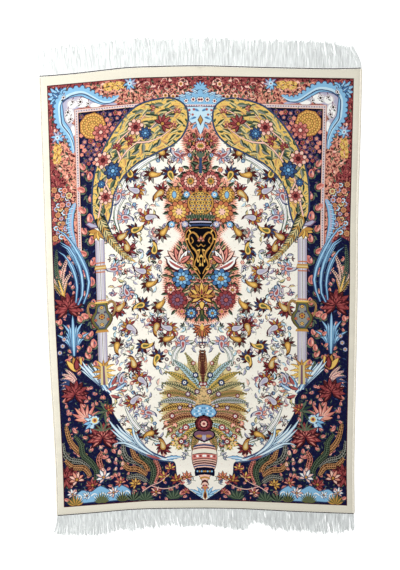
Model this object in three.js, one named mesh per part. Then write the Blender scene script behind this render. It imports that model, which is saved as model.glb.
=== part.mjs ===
// A hand-knotted silk rug of the Persian kind, lying flat, in millimetres with +Z up.
// The origin is the middle of its underside. +Y runs along the warps, towards the end
// with the longer fringe, and +X runs across them.
//
// Its maker's pieces are the knotted cloth, an overcast selvedge down each long side, a
// dark twined cord across each end, and a fringe of warp ends beyond each cord.

import * as THREE from "three";

// Driving dimensions
const RUG_WIDTH = 1000; // over both selvedges
const RUG_LENGTH = 1440; // from end cord to end cord, on the centre line
const SEAM_GAP = 0.3; // between neighbouring pieces

const CLOTH_THICKNESS = 4; // foundation and clipped pile
const CLOTH_ROUNDING = 0.8; // softened arris all round

const SELVEDGE_WIDTH = 7;
const SELVEDGE_HEIGHT = 5;
const SELVEDGE_ROUNDING = 1.7;

const CORD_WIDTH = 3.6;
const CORD_HEIGHT = 4.4;
const CORD_ROUNDING = 1;
const CORD_INSET = 1; // from each end of the cord to the rug's side line

const ROUND_STEPS = 2; // facets across the rounding of a selvedge or a cord

const ROOT_STRIP_WIDTH = 3; // where the warps leave the cord and still lie together
const ROOT_STRIP_INSET = 2; // from each end of the strip to the rug's side line

const FRINGE_THICKNESS = 2;
const LOCK_COUNT = 132; // fringe locks on each end
const LOCK_ROOT_WIDTH = 5.6;
const LOCK_TIP_WIDTH = 2.6;
const LOCK_BENDS = 2; // straight stretches along a lock's edge
const LOCKS_PER_CLUMP = 5;
const CLUMP_GATHER = 0.3; // share by which a clump's tips draw together
const LOCK_LENGTH_SPREAD = 4; // longest and shortest neighbours differ by twice this
const UNEVEN_TURN = 2.399; // turn from one lock to the next, the golden angle in radians
const UNEVEN_SLOW_TURN = 0.713; // a slower turn that keeps the unevenness from repeating

const TOP_SEED = 0.4; // starts of the two ends' unevenness
const BOTTOM_SEED = 1.9;

const END_STEPS = 26; // stations across an end
const SIDE_STEPS = 24; // stations along a side

// How far each end line lies towards -Y of a straight one, because the wefts bow.
const END_BOW = [
  { x: -500, top: 26, bottom: 22 },
  { x: -430, top: 22, bottom: 17 },
  { x: -340, top: 14, bottom: 10 },
  { x: -240, top: 4, bottom: 2 },
  { x: -170, top: 1, bottom: 0 },
  { x: 0, top: 0, bottom: 0 },
  { x: 110, top: 4, bottom: 3 },
  { x: 210, top: 8, bottom: 9 },
  { x: 300, top: 11, bottom: 15 },
  { x: 400, top: 14, bottom: 20 },
  { x: 500, top: 13, bottom: 25 },
];

// How far each side line lies towards +X of a straight one, as the cloth was pulled.
const SIDE_WANDER = [
  { y: -740, left: 1, right: 0 },
  { y: -600, left: 3, right: -4 },
  { y: -420, left: 1, right: -4 },
  { y: -180, left: -4, right: -3 },
  { y: 60, left: -4, right: -3 },
  { y: 260, left: -3, right: -5 },
  { y: 480, left: -1, right: -2 },
  { y: 740, left: 0, right: 0 },
];

// Fringe length, and how far its tips drift towards +X, at places along each end.
const TOP_FRINGE = [
  { x: -490, length: 78, drift: 0 },
  { x: -430, length: 81, drift: -6 },
  { x: -340, length: 83, drift: -8 },
  { x: -215, length: 82, drift: -11 },
  { x: -120, length: 81, drift: -8 },
  { x: 0, length: 79, drift: -4 },
  { x: 250, length: 79, drift: 2 },
  { x: 345, length: 80, drift: -4 },
  { x: 407, length: 78, drift: -14 },
  { x: 454, length: 68, drift: -22 },
  { x: 490, length: 60, drift: -26 },
];
const BOTTOM_FRINGE = [
  { x: -490, length: 65, drift: -12 },
  { x: -430, length: 75, drift: -4 },
  { x: -350, length: 79, drift: 2 },
  { x: -298, length: 67, drift: 8 },
  { x: -248, length: 74, drift: 10 },
  { x: -131, length: 59, drift: 10 },
  { x: -60, length: 65, drift: 8 },
  { x: 0, length: 59, drift: 6 },
  { x: 118, length: 78, drift: 8 },
  { x: 152, length: 46, drift: 5 },
  { x: 178, length: 47, drift: 8 },
  { x: 204, length: 67, drift: 15 },
  { x: 318, length: 68, drift: 15 },
  { x: 390, length: 74, drift: 10 },
  { x: 458, length: 65, drift: 3 },
  { x: 490, length: 55, drift: 3 },
];

// Worked out from the driving dimensions
const CLOTH_HALF_WIDTH = RUG_WIDTH / 2 - SELVEDGE_WIDTH - SEAM_GAP;
const CLOTH_HALF_LENGTH = RUG_LENGTH / 2;
const CORD_START = CLOTH_HALF_LENGTH + SEAM_GAP;
const STRIP_START = CORD_START + CORD_WIDTH + SEAM_GAP;
const STRIP_HALF_WIDTH = RUG_WIDTH / 2 - ROOT_STRIP_INSET;
const CORD_HALF_WIDTH = RUG_WIDTH / 2 - CORD_INSET;
const LOCK_PITCH = (2 * STRIP_HALF_WIDTH - LOCK_ROOT_WIDTH) / (LOCK_COUNT - 1);

// Reads a column of a table at a place between its rows, along a smooth curve through them.
function readTable(table, key, place, column) {
  const last = table.length - 1;
  const at = Math.min(Math.max(place, table[0][key]), table[last][key]);
  const low = Math.max(table.findLastIndex((row, k) => k < last && row[key] <= at), 0);
  const slope = (k) => {
    const [before, after] = [table[Math.max(k - 1, 0)], table[Math.min(k + 1, last)]];
    return (after[column] - before[column]) / (after[key] - before[key]);
  };
  const [from, to] = [table[low], table[low + 1]];
  const span = to[key] - from[key];
  const t = (at - from[key]) / span;
  const rise = to[column] - from[column];
  const bend = t * (1 - t) * ((1 - t) * (slope(low) * span - rise) - t * (slope(low + 1) * span - rise));
  return from[column] + t * rise + bend;
}

const topLine = (x, beyond) => CLOTH_HALF_LENGTH + beyond - readTable(END_BOW, "x", x, "top");
const bottomLine = (x, beyond) => -CLOTH_HALF_LENGTH - beyond - readTable(END_BOW, "x", x, "bottom");
const leftLine = (y, halfWidth) => -halfWidth + readTable(SIDE_WANDER, "y", y, "left");
const rightLine = (y, halfWidth) => halfWidth + readTable(SIDE_WANDER, "y", y, "right");

// Even steps from one number to another, both included.
function steps(from, to, count) {
  return Array.from({ length: count + 1 }, (_, i) => from + ((to - from) * i) / count);
}

// The points of a line across an end, from one side line to the other.
function acrossEnd(line, beyond, halfWidth) {
  const level = line(0, beyond);
  const from = leftLine(level, halfWidth);
  const to = rightLine(level, halfWidth);
  return steps(from, to, END_STEPS).map((x) => new THREE.Vector2(x, line(x, beyond)));
}

// The points of a line down a side, from the bottom end line to the top one, or short of both.
function alongSide(line, halfWidth, shortBy) {
  const corner = line(0, halfWidth);
  return steps(bottomLine(corner, -shortBy), topLine(corner, -shortBy), SIDE_STEPS).map(
    (y) => new THREE.Vector2(line(y, halfWidth), y),
  );
}

// A flat piece of a plan outline, standing on Z = 0, with its edges rounded.
function flatPiece(points, height, rounding, roundingSteps) {
  const geometry = new THREE.ExtrudeGeometry(new THREE.Shape(points), {
    depth: height - 2 * rounding,
    bevelEnabled: rounding > 0,
    bevelThickness: rounding,
    bevelSize: rounding,
    bevelOffset: -rounding,
    bevelSegments: roundingSteps,
  });
  return geometry.translate(0, 0, rounding);
}

// Knotted cloth

function clothGeometry() {
  const bottom = acrossEnd(bottomLine, 0, CLOTH_HALF_WIDTH);
  const top = acrossEnd(topLine, 0, CLOTH_HALF_WIDTH).reverse();
  const right = alongSide(rightLine, CLOTH_HALF_WIDTH, 0).slice(1, -1);
  const left = alongSide(leftLine, CLOTH_HALF_WIDTH, 0).slice(1, -1).reverse();
  return flatPiece([...bottom, ...right, ...top, ...left], CLOTH_THICKNESS, CLOTH_ROUNDING, 1);
}

// Overcast selvedges

function selvedgeGeometry(line, outward) {
  const inner = alongSide(line, CLOTH_HALF_WIDTH + SEAM_GAP, SEAM_GAP);
  const outer = alongSide(line, RUG_WIDTH / 2, SEAM_GAP);
  const outline = outward > 0 ? [...outer, ...inner.reverse()] : [...inner, ...outer.reverse()];
  return flatPiece(outline, SELVEDGE_HEIGHT, SELVEDGE_ROUNDING, ROUND_STEPS);
}

// Twined end cords

function cordGeometry(line) {
  const beyond = CORD_START - CLOTH_HALF_LENGTH;
  const near = acrossEnd(line, beyond, CORD_HALF_WIDTH);
  const far = acrossEnd(line, beyond + CORD_WIDTH, CORD_HALF_WIDTH);
  const outline = line === topLine ? [...near, ...far.reverse()] : [...far, ...near.reverse()];
  return flatPiece(outline, CORD_HEIGHT, CORD_ROUNDING, ROUND_STEPS);
}

// Fringes

// A repeatable spread from -1 to 1 that differs from one lock to the next.
function unevenness(index, seed) {
  return Math.sin(index * UNEVEN_TURN + seed) * Math.cos(index * UNEVEN_SLOW_TURN + 2 * seed);
}

// One lock in plan: a tapering tongue whose root is straight and whose tip drifts sideways.
function lockPoints(rootX, rootY, tipX, tipY) {
  const rootHalf = LOCK_ROOT_WIDTH / 2;
  const tipHalf = LOCK_TIP_WIDTH / 2;
  const edge = (side) =>
    new THREE.QuadraticBezierCurve(
      new THREE.Vector2(rootX + side * rootHalf, rootY),
      new THREE.Vector2(rootX + side * rootHalf, (rootY + tipY) / 2),
      new THREE.Vector2(tipX + side * tipHalf, tipY),
    ).getPoints(LOCK_BENDS);
  return [...edge(-1), ...edge(1).reverse()];
}

// All the locks of one end and the root strip that joins them, as one comb lying on Z = 0.
function fringeGeometry(line, table, outward, seed) {
  const stripNear = STRIP_START - CLOTH_HALF_LENGTH;
  const stripFar = stripNear + ROOT_STRIP_WIDTH;
  const level = line(0, stripFar);
  const middle = (leftLine(level, 0) + rightLine(level, 0)) / 2;
  const teeth = [];
  for (let i = 0; i < LOCK_COUNT; i += 1) {
    const across = (i - (LOCK_COUNT - 1) / 2) * LOCK_PITCH;
    const inClump = (i % LOCKS_PER_CLUMP) - (LOCKS_PER_CLUMP - 1) / 2;
    const gather = -inClump * LOCK_PITCH * CLUMP_GATHER;
    const length =
      readTable(table, "x", across, "length") + LOCK_LENGTH_SPREAD * unevenness(i, seed);
    const drift = readTable(table, "x", across, "drift") + gather;
    const x = middle + across;
    const root = line(x, stripFar);
    teeth.push(...lockPoints(x, root, x + drift, root + outward * length));
  }
  const comb = [...acrossEnd(line, stripNear, STRIP_HALF_WIDTH).reverse(), ...teeth];
  return flatPiece(outward > 0 ? comb.reverse() : comb, FRINGE_THICKNESS, 0, 1);
}

// Materials

function silk(color, roughness) {
  return new THREE.MeshStandardMaterial({ color, roughness, metalness: 0 });
}

const pileSilk = silk(0xb9a48c, 0.6);
const selvedgeSilk = silk(0xe9e3cf, 0.65);
const cordYarn = silk(0x3f3330, 0.8);
const fringeSilk = silk(0xeef1ee, 0.55);

// Assembly

const rug = new THREE.Group();

function addPiece(name, geometry, material) {
  const mesh = new THREE.Mesh(geometry, material);
  mesh.name = name;
  rug.add(mesh);
}

addPiece("knotted_cloth", clothGeometry(), pileSilk);
addPiece("selvedge_left", selvedgeGeometry(leftLine, -1), selvedgeSilk);
addPiece("selvedge_right", selvedgeGeometry(rightLine, 1), selvedgeSilk);
addPiece("end_cord_top", cordGeometry(topLine), cordYarn);
addPiece("end_cord_bottom", cordGeometry(bottomLine), cordYarn);
addPiece("fringe_top", fringeGeometry(topLine, TOP_FRINGE, 1, TOP_SEED), fringeSilk);
addPiece("fringe_bottom", fringeGeometry(bottomLine, BOTTOM_FRINGE, -1, BOTTOM_SEED), fringeSilk);

export default rug;
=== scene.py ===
"""A hand-knotted silk rug with a niche design, laid flat and seen from above.

Lengths of the design are millimetres from the middle of the cloth. Every mesh is in metres,
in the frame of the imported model: +Y along the warps, +X across them and +Z up.
"""
import logging
import math
import random
from collections.abc import Callable, Iterable
from dataclasses import dataclass, field
from enum import Enum

import bpy
import numpy as np
from bpy.types import Material, Node, NodeSocket, NodeTree, Object
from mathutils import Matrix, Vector
from mathutils.geometry import delaunay_2d_cdt


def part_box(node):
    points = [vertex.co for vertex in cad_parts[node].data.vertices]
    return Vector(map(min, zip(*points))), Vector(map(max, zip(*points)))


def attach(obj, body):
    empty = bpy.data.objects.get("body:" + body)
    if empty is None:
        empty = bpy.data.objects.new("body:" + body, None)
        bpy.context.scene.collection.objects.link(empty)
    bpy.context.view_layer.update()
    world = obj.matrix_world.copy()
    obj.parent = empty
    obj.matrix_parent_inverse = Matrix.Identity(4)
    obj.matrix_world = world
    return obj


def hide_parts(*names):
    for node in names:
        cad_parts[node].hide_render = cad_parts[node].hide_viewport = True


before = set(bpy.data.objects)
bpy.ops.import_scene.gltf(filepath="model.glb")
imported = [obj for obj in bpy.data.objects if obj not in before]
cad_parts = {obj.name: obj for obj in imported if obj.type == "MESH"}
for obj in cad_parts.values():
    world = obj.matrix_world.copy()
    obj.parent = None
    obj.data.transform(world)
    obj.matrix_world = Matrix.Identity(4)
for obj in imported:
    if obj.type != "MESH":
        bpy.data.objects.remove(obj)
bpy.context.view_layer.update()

log = logging.getLogger("rug")
MM = 0.001


# Drawing kit


Point = tuple[float, float]
Outline = list[Point]
Box = tuple[float, float, float, float]


class Silk(Enum):
    """A dye of the pile silk, as its sRGB colour."""

    CREAM = "EAE4D2"
    WHITE = "F4F3EE"
    NAVY = "0F1238"
    INK = "0C0C18"
    STEEL = "38507C"
    BLUE = "3F7CAE"
    SKY = "86BEDF"
    PALE_SKY = "C4E0EC"
    LAVENDER = "B9B6CC"
    DOVE = "D2CBD0"
    MAUVE = "87607A"
    MAROON = "5E1C26"
    RED = "9C383C"
    ROSE = "B65650"
    PINK = "DB8473"
    SALMON = "E79C80"
    BLUSH = "F2C6B2"
    ORANGE = "C8743A"
    TAN = "CC9658"
    GOLD = "C8932A"
    YELLOW = "E9C152"
    STRAW = "DCCB90"
    OLIVE = "77763F"
    ASH = "A09F95"
    SAGE = "6A7C62"
    GREEN = "405444"
    MOSS = "2B352B"
    BROWN = "5E3822"
    FIELD = "F5F0E3"
    MIDNIGHT = "10134A"
    CLOUD = "E59C80"
    MADDER = "9C3B40"
    GILT = "E8C45E"
    FLAME = "E8A183"
    HONEY = "DDBC80"


@dataclass(frozen=True)
class Spot:
    """A place for a motif: millimetres from the middle, a turn in degrees and a size."""

    x: float
    y: float
    turn: float = 0.0
    size: float = 1.0

    def carry(self, outline: Iterable[Point]) -> Outline:
        """Return an outline moved, turned and sized to this place.

        Args:
            outline: points around the origin.

        Returns:
            The outline's points.
        """
        c = math.cos(math.radians(self.turn)) * self.size
        s = math.sin(math.radians(self.turn)) * self.size
        return [(self.x + c * x - s * y, self.y + s * x + c * y) for x, y in outline]

    def at(self, x: float, y: float, turn: float = 0.0, size: float = 1.0) -> "Spot":
        """Return a place given in this place's own axes."""
        (px, py), = self.carry([(x, y)])
        return Spot(px, py, self.turn + turn, self.size * size)


@dataclass
class Cartoon:
    """The left half of the design as filled outlines, the later ones on top."""

    shapes: list[tuple[Outline, Silk]] = field(default_factory=list)

    def lay(self, outline: Iterable[Point], silk: Silk, spot: Spot = Spot(0, 0)) -> None:
        """Add one filled outline."""
        self.shapes.append((spot.carry(outline), silk))


def smooth(points: list[Point], steps: int = 4, closed: bool = False) -> Outline:
    """Return a soft curve through a few points.

    Args:
        points: the points that it passes.
        steps: pieces between two points.
        closed: whether the last point joins the first.

    Returns:
        The outline's points.
    """
    n = len(points)
    pick = (lambda i: points[i % n]) if closed else (lambda i: points[min(max(i, 0), n - 1)])
    out = []
    for i in range(n if closed else n - 1):
        a, b, c, d = pick(i - 1), pick(i), pick(i + 1), pick(i + 2)
        for k in range(steps):
            t = k / steps
            out.append(tuple(
                b[j] + 0.5 * t * (c[j] - a[j] + t * (2 * a[j] - 5 * b[j] + 4 * c[j] - d[j] + t * (3 * b[j]
                 - a[j] - 3 * c[j] + d[j]))) for j in (0, 1)))
    return out if closed else out + [points[-1]]


def bent(length: float, bend: float, steps: int) -> Outline:
    """Return a path along +X whose heading turns by a number of degrees on the way.

    Args:
        length: its length.
        bend: degrees by which its heading turns on the way.
        steps: how many pieces it has.

    Returns:
        The path's points.
    """
    x = y = 0.0
    path = [(0.0, 0.0)]
    for k in range(steps):
        heading = math.radians(bend * ((k + 0.5) / steps - 0.5))
        x += length / steps * math.cos(heading)
        y += length / steps * math.sin(heading)
        path.append((x, y))
    return path


def stroke(path: Outline, half_width: Callable[[float], float]) -> Outline:
    """Return the outline of a stroke along a path, from its half width at each share of it.

    Args:
        path: the middle line.
        half_width: the half width at each share of the path, from 0 to 1.

    Returns:
        The outline's points.
    """
    last = len(path) - 1
    near, far = [], []
    for i, (x, y) in enumerate(path):
        ax, ay = path[max(i - 1, 0)]
        bx, by = path[min(i + 1, last)]
        size = math.hypot(bx - ax, by - ay) or 1.0
        w = half_width(i / last)
        nx, ny = -(by - ay) / size * w, (bx - ax) / size * w
        near.append((x - nx, y - ny))
        if abs(w) > 1e-6:
            far.append((x + nx, y + ny))
    return near + far[::-1]


def petals(radius: float, count: int, depth: float, points: int = 4, pointed: bool = False) -> Outline:
    """Return a ring outline with petals cut into it by a share of its radius.

    Args:
        radius: its outer radius.
        count: how many petals it has.
        depth: how deep the cuts are, as a share of the radius.
        points: points on each petal.
        pointed: whether the petals are pointed.

    Returns:
        The outline's points.
    """
    out = []
    for i in range(count * points):
        a = 2 * math.pi * i / (count * points)
        wave = abs(math.cos(count * a / 2))
        wave = wave if not pointed else 1 - abs(math.sin(count * a / 2))
        r = radius * (1 - depth + depth * wave)
        out.append((r * math.cos(a), r * math.sin(a)))
    return out


def leaf(length: float, width: float, bend: float = 0.0, steps: int = 4) -> Outline:
    """Return a pointed leaf that grows along +X."""
    return stroke(bent(length, bend, steps), lambda t: width / 2 * math.sin(math.pi * t ** 0.8) ** 0.8
                  if 0 < t < 1 else 0.0)


def half_leaf(length: float, width: float, bend: float = 0.0, steps: int = 4) -> Outline:
    """Return the left half of a leaf, from its rib outwards.

    Args:
        length: its length.
        width: its full width.
        bend: degrees by which its heading turns on the way.
        steps: pieces along its rib.

    Returns:
        The outline's points.
    """
    path = bent(length, bend, steps)
    edge = leaf(length, width, bend, steps)
    return path + edge[steps + 1:][:steps - 1]


def blade(points: list[Point], width: float, tip: float = 0.0, steps: int = 4, teeth: int = 0) -> Outline:
    """Return a long leaf through a few points, widest a third of the way along, with lobes where wanted.

    Args:
        points: the points that it passes.
        width: its full width.
        tip: the share of the width that is left at its end.
        steps: pieces between two points.
        teeth: how many lobes each side has.

    Returns:
        The outline's points.
    """
    def half(t: float) -> float:
        if not 0 < t < 1:
            return width / 2 * tip
        lobe = 0.68 + 0.4 * ((t * teeth) % 1.0) if teeth else 1.0
        return width / 2 * (tip + (1 - tip) * math.sin(math.pi * t ** 0.75) ** 0.7) * lobe
    return stroke(smooth(points, steps), half)


def disc(radius: float, sides: int = 8) -> Outline:
    """Return a round spot."""
    return [(radius * math.cos(2 * math.pi * i / sides), radius * math.sin(2 * math.pi * i / sides))
            for i in range(sides)]


def acanthus(length: float, width: float, bend: float, teeth: int) -> Outline:
    """Return a long lobed leaf along +X whose lobes point forward.

    Args:
        length: its length.
        width: its full width.
        bend: degrees by which its heading turns on the way.
        teeth: how many lobes each side has.

    Returns:
        The outline's points.
    """
    def half(t: float) -> float:
        body = math.sin(math.pi * min(t + 0.02, 1) ** 0.75) ** 0.7 if 0 < t < 1 else 0.0
        tooth = (t * teeth) % 1.0
        return width / 2 * body * (0.62 + 0.38 * tooth)
    return stroke(bent(length, bend, teeth * 3), half)


def oblong(left: float, low: float, right: float, high: float) -> Outline:
    """Return an upright rectangle."""
    return [(left, low), (right, low), (right, high), (left, high)]


def resample(path: Outline, count: int) -> Outline:
    """Return evenly spaced points along a path.

    Args:
        path: the path.
        count: how many points to return.

    Returns:
        The path's new points.
    """
    dist = [0.0]
    for a, b in zip(path, path[1:]):
        dist.append(dist[-1] + math.hypot(b[0] - a[0], b[1] - a[1]))
    out = []
    j = 0
    for k in range(count):
        d = dist[-1] * k / (count - 1)
        while j < len(path) - 2 and dist[j + 1] < d:
            j += 1
        t = (d - dist[j]) / ((dist[j + 1] - dist[j]) or 1.0)
        out.append((path[j][0] + t * (path[j + 1][0] - path[j][0]),
                    path[j][1] + t * (path[j + 1][1] - path[j][1])))
    return out


# Motifs


@dataclass(frozen=True)
class Leaf:
    """A pointed leaf, its far half in a second silk where one is given."""

    length: float
    width: float
    silk: Silk
    half: Silk | None = None
    bend: float = 0.0

    def lay(self, cartoon: Cartoon, spot: Spot) -> None:
        """Draw the leaf with its stalk end at the spot.

        Args:
            cartoon: the design that it joins.
            spot: its place.
        """
        cartoon.lay(leaf(self.length, self.width, self.bend), self.silk, spot)
        if self.half:
            cartoon.lay(half_leaf(self.length, self.width * 0.8, self.bend), self.half, spot)


@dataclass(frozen=True)
class Rosette:
    """A round flower of petal rings, the outermost first."""

    radius: float
    rings: tuple[tuple[float, Silk], ...]
    petals: int = 8
    depth: float = 0.22
    pointed: bool = False

    def lay(self, cartoon: Cartoon, spot: Spot) -> None:
        """Draw the rosette around the spot.

        Args:
            cartoon: the design that it joins.
            spot: its place.
        """
        for i, (share, silk) in enumerate(self.rings):
            inner = i == len(self.rings) - 1
            if inner:
                cartoon.lay(disc(self.radius * share, 10), silk, spot)
            else:
                cartoon.lay(petals(self.radius * share, self.petals, self.depth, 4, self.pointed), silk,
                            spot.at(0, 0, 180 / self.petals * (i % 2)))


@dataclass(frozen=True)
class Blossom:
    """A full flower: two rings of round petals with dark edges around a ringed heart."""

    radius: float
    outer: Silk
    inner: Silk
    heart: Silk
    edge: Silk = Silk.MAROON
    petals: int = 9

    def lay(self, cartoon: Cartoon, spot: Spot) -> None:
        """Draw the flower around the spot.

        Args:
            cartoon: the design that it joins.
            spot: its place.
        """
        r = self.radius
        cartoon.lay(disc(r * 0.74, 12), self.edge, spot)
        for share, silk, shift in ((1.0, self.outer, 0.0), (0.66, self.inner, 0.5)):
            for k in range(self.petals):
                petal = spot.at(0, 0, 360 * (k + shift) / self.petals)
                for long, wide, colour in ((0.36, 0.29, self.edge), (0.3, 0.22, silk)):
                    cartoon.lay([(r * share * (0.62 + x * long), r * share * y * wide) for x,
                                 y in disc(1.0, 8)], colour, petal)
        for share, silk in ((0.28, self.edge), (0.2, self.heart)):
            cartoon.lay(disc(r * share, 8), silk, spot)


@dataclass(frozen=True)
class Bud:
    """A rosebud on a short stalk with two calyx leaves, growing along +X."""

    length: float
    silk: Silk = Silk.PINK
    fold: Silk = Silk.ROSE
    calyx: Silk = Silk.SAGE

    def lay(self, cartoon: Cartoon, spot: Spot) -> None:
        """Draw the bud with its foot at the spot.

        Args:
            cartoon: the design that it joins.
            spot: its place.
        """
        s = self.length
        for turn, silk in ((-44, self.calyx), (44, self.calyx), (-16, Silk.MAROON), (16, Silk.MAROON)):
            cartoon.lay(leaf(s * 0.66, s * 0.2, -turn, 3), silk, spot.at(-0.06 * s, 0, turn))
        cartoon.lay(smooth([(0.1 * s, 0), (0.3 * s, -0.28 * s), (0.7 * s, -0.27 * s), (s, 0.06 * s),
                            (0.72 * s, 0.27 * s), (0.3 * s, 0.26 * s)], 2, True), self.silk, spot)
        cartoon.lay(leaf(s * 0.72, s * 0.17, 30, 3), self.fold, spot.at(0.16 * s, -0.1 * s, 8))
        cartoon.lay(leaf(s * 0.5, s * 0.13, -30, 3), Silk.BLUSH, spot.at(0.26 * s, 0.12 * s, 2))


@dataclass(frozen=True)
class Paisley:
    """A boteh: a drop with a curled tip along +X and a burst of petals behind its broad head."""

    length: float
    edge: Silk
    body: Silk
    heart: Silk
    petal: Silk
    petal2: Silk
    side: int = 1

    def outline(self, share: float) -> Outline:
        """Return the drop's outline, drawn in towards the middle of its head by a share.

        Args:
            share: how much of its size is left.

        Returns:
            The outline's points.
        """
        drop = ((0.0, 0.02), (0.05, 0.16), (0.2, 0.25), (0.42, 0.24), (0.64, 0.17), (0.84, 0.18),
                (1.02, 0.34), (0.98, 0.1), (0.84, -0.05), (0.64, -0.14), (0.4, -0.21), (0.19, -0.21),
                (0.04, -0.12))
        return [(self.length * (0.32 + (x - 0.32) * share), self.side * self.length
                 * (0.02 + (y - 0.02) * share)) for x, y in drop]

    def lay(self, cartoon: Cartoon, spot: Spot) -> None:
        """Draw the boteh with the back of its head at the spot.

        Args:
            cartoon: the design that it joins.
            spot: its place.
        """
        s = self.length
        head = spot.at(0.2 * s, 0)
        for i, turn in enumerate((-112, -50, 50, 112, -82, -18, 18, 82)):
            long = i < 4
            petal = head.at(0, 0, 180 + turn)
            sweep = self.side * 46 - turn * 0.4
            cartoon.lay(leaf((0.66 if long else 0.56) * s, 0.23 * s, sweep, 3), Silk.INK if long
                        else self.edge, petal)
            cartoon.lay(leaf((0.6 if long else 0.51) * s, 0.155 * s, sweep, 3), self.petal if long
                        else self.petal2, petal.at(0.02 * s, 0))
        for share, silk in ((1.0, self.edge), (0.8, self.body), (0.46, self.heart)):
            cartoon.lay(self.outline(share), silk, spot)


@dataclass(frozen=True)
class Spray:
    """A thin curling stem with a pale leaf on each side and three small dark ones at its end."""

    length: float
    stem: Silk
    pale: tuple[Silk, Silk]
    dark: Silk
    bend: float = 60.0

    def lay(self, cartoon: Cartoon, spot: Spot) -> None:
        """Draw the spray with its foot at the spot.

        Args:
            cartoon: the design that it joins.
            spot: its place.
        """
        s = self.length
        path = bent(s, self.bend, 3)
        cartoon.lay(stroke(path, lambda t: 1.0 - 0.4 * t), self.stem, spot)
        for k, silk in enumerate(self.pale):
            side = 1 if k else -1
            foot = spot.at(*path[1 + k], side * 46)
            cartoon.lay(leaf(s * 0.95, s * 0.33, -side * 70, 3), self.stem, foot)
            cartoon.lay(leaf(s * 0.84, s * 0.22, -side * 66, 2), silk, foot.at(s * 0.04, 0))
        for turn in (-58, 0, 58):
            cartoon.lay(leaf(s * 0.42, s * 0.19, 0, 2), self.dark,
                        spot.at(*path[-1], self.bend * 0.5 + turn))


@dataclass(frozen=True)
class Plume:
    """Long smooth leaves that rise together from one foot, part and curl outwards at their tips."""

    points: tuple[Point, ...]
    width: float
    strands: int = 5
    edge: Silk = Silk.STEEL
    body: Silk = Silk.SKY
    light: Silk = Silk.PALE_SKY

    def lay(self, cartoon: Cartoon) -> None:
        """Draw the outer leaves first and the middle one last.

        Args:
            cartoon: the design that it joins.
        """
        path = resample(smooth(list(self.points), 4), 9)
        order = sorted(range(self.strands), key=lambda k: -abs(k - (self.strands - 1) / 2))
        for k in order:
            lean = 2 * k / (self.strands - 1) - 1
            line = []
            for i in range(9 - round(2 * abs(lean))):
                (ax, ay), (bx, by) = path[max(i - 1, 0)], path[min(i + 1, 8)]
                size = math.hypot(bx - ax, by - ay)
                away = lean * self.width * (0.1 + 0.9 * (i / 7) ** 2.4)
                line.append((path[i][0] + (by - ay) / size * away, path[i][1] - (bx - ax) / size * away))
            broad = self.width * 1.1 / self.strands ** 0.5
            for grow, share, silk in ((2.0, 1.0, self.edge), (0.0, 1.0, self.body),
                                      (-0.5, 0.36, self.light)):
                cartoon.lay(stroke(
                    line, lambda t: broad * 0.5 * share * math.sin(math.pi * (0.1 + 0.9
                     * t) ** 1.1) ** 0.7 + grow if t < 1 else 0.0), silk)


@dataclass(frozen=True)
class Fern:
    """A curved frond with narrow leaflets on both sides."""

    length: float
    width: float
    stem: Silk
    leaflet: Silk
    bend: float = 30.0
    pitch: float = 7.0

    def lay(self, cartoon: Cartoon, spot: Spot) -> None:
        """Draw the frond with its foot at the spot.

        Args:
            cartoon: the design that it joins.
            spot: its place.
        """
        count = max(int(self.length / self.pitch), 3)
        path = bent(self.length, self.bend, count)
        for k in range(1, count):
            t = k / count
            head = self.bend * (t - 0.5)
            size = self.width * math.sin(math.pi * min(t, 0.98) ** 0.7) ** 0.6
            for side in (-1, 1):
                cartoon.lay(((0, -1.3), (size * 0.45, -2.1), (size, 0), (size * 0.4, 1.9)), self.leaflet,
                            spot.at(*path[k], head + side * 42))
        cartoon.lay(stroke(path, lambda t: 1.5 - t), self.stem, spot)


@dataclass(frozen=True)
class Feather:
    """A broad fan leaf with slanting marks on both sides of its rib."""

    length: float
    width: float
    bend: float
    body: Silk
    mark: Silk
    pitch: float = 7.6

    def lay(self, cartoon: Cartoon, spot: Spot) -> None:
        """Draw the leaf with its foot at the spot.

        Args:
            cartoon: the design that it joins.
            spot: its place.
        """
        count = max(int(self.length / self.pitch), 4)
        path = bent(self.length, self.bend, count)

        def half(t: float) -> float:
            return self.width / 2 * (math.sin(math.pi * min(0.06 + t, 1.0) ** 0.9) ** 0.5 if t < 0.94
                                     else 0.25)

        cartoon.lay(stroke(path, lambda t: half(t) + 1.4), self.mark, spot)
        cartoon.lay(stroke(path, lambda t: half(t) * (1.0 if round(t * count) % 2 else 0.86)), self.body,
                    spot)
        for k in range(1, count):
            t = k / count
            head = self.bend * (t - 0.5)
            size = half(t) * 1.25
            for side in (-1, 1):
                cartoon.lay(((0, -1.2), (size * 0.5, -2.0), (size * 1.12, 0), (size * 0.5, 1.9),
                             (0, 1.2)), self.mark, spot.at(*path[k], head + side * 40))
        cartoon.lay(stroke(path, lambda t: 1.8 - t), self.mark, spot)


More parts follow.
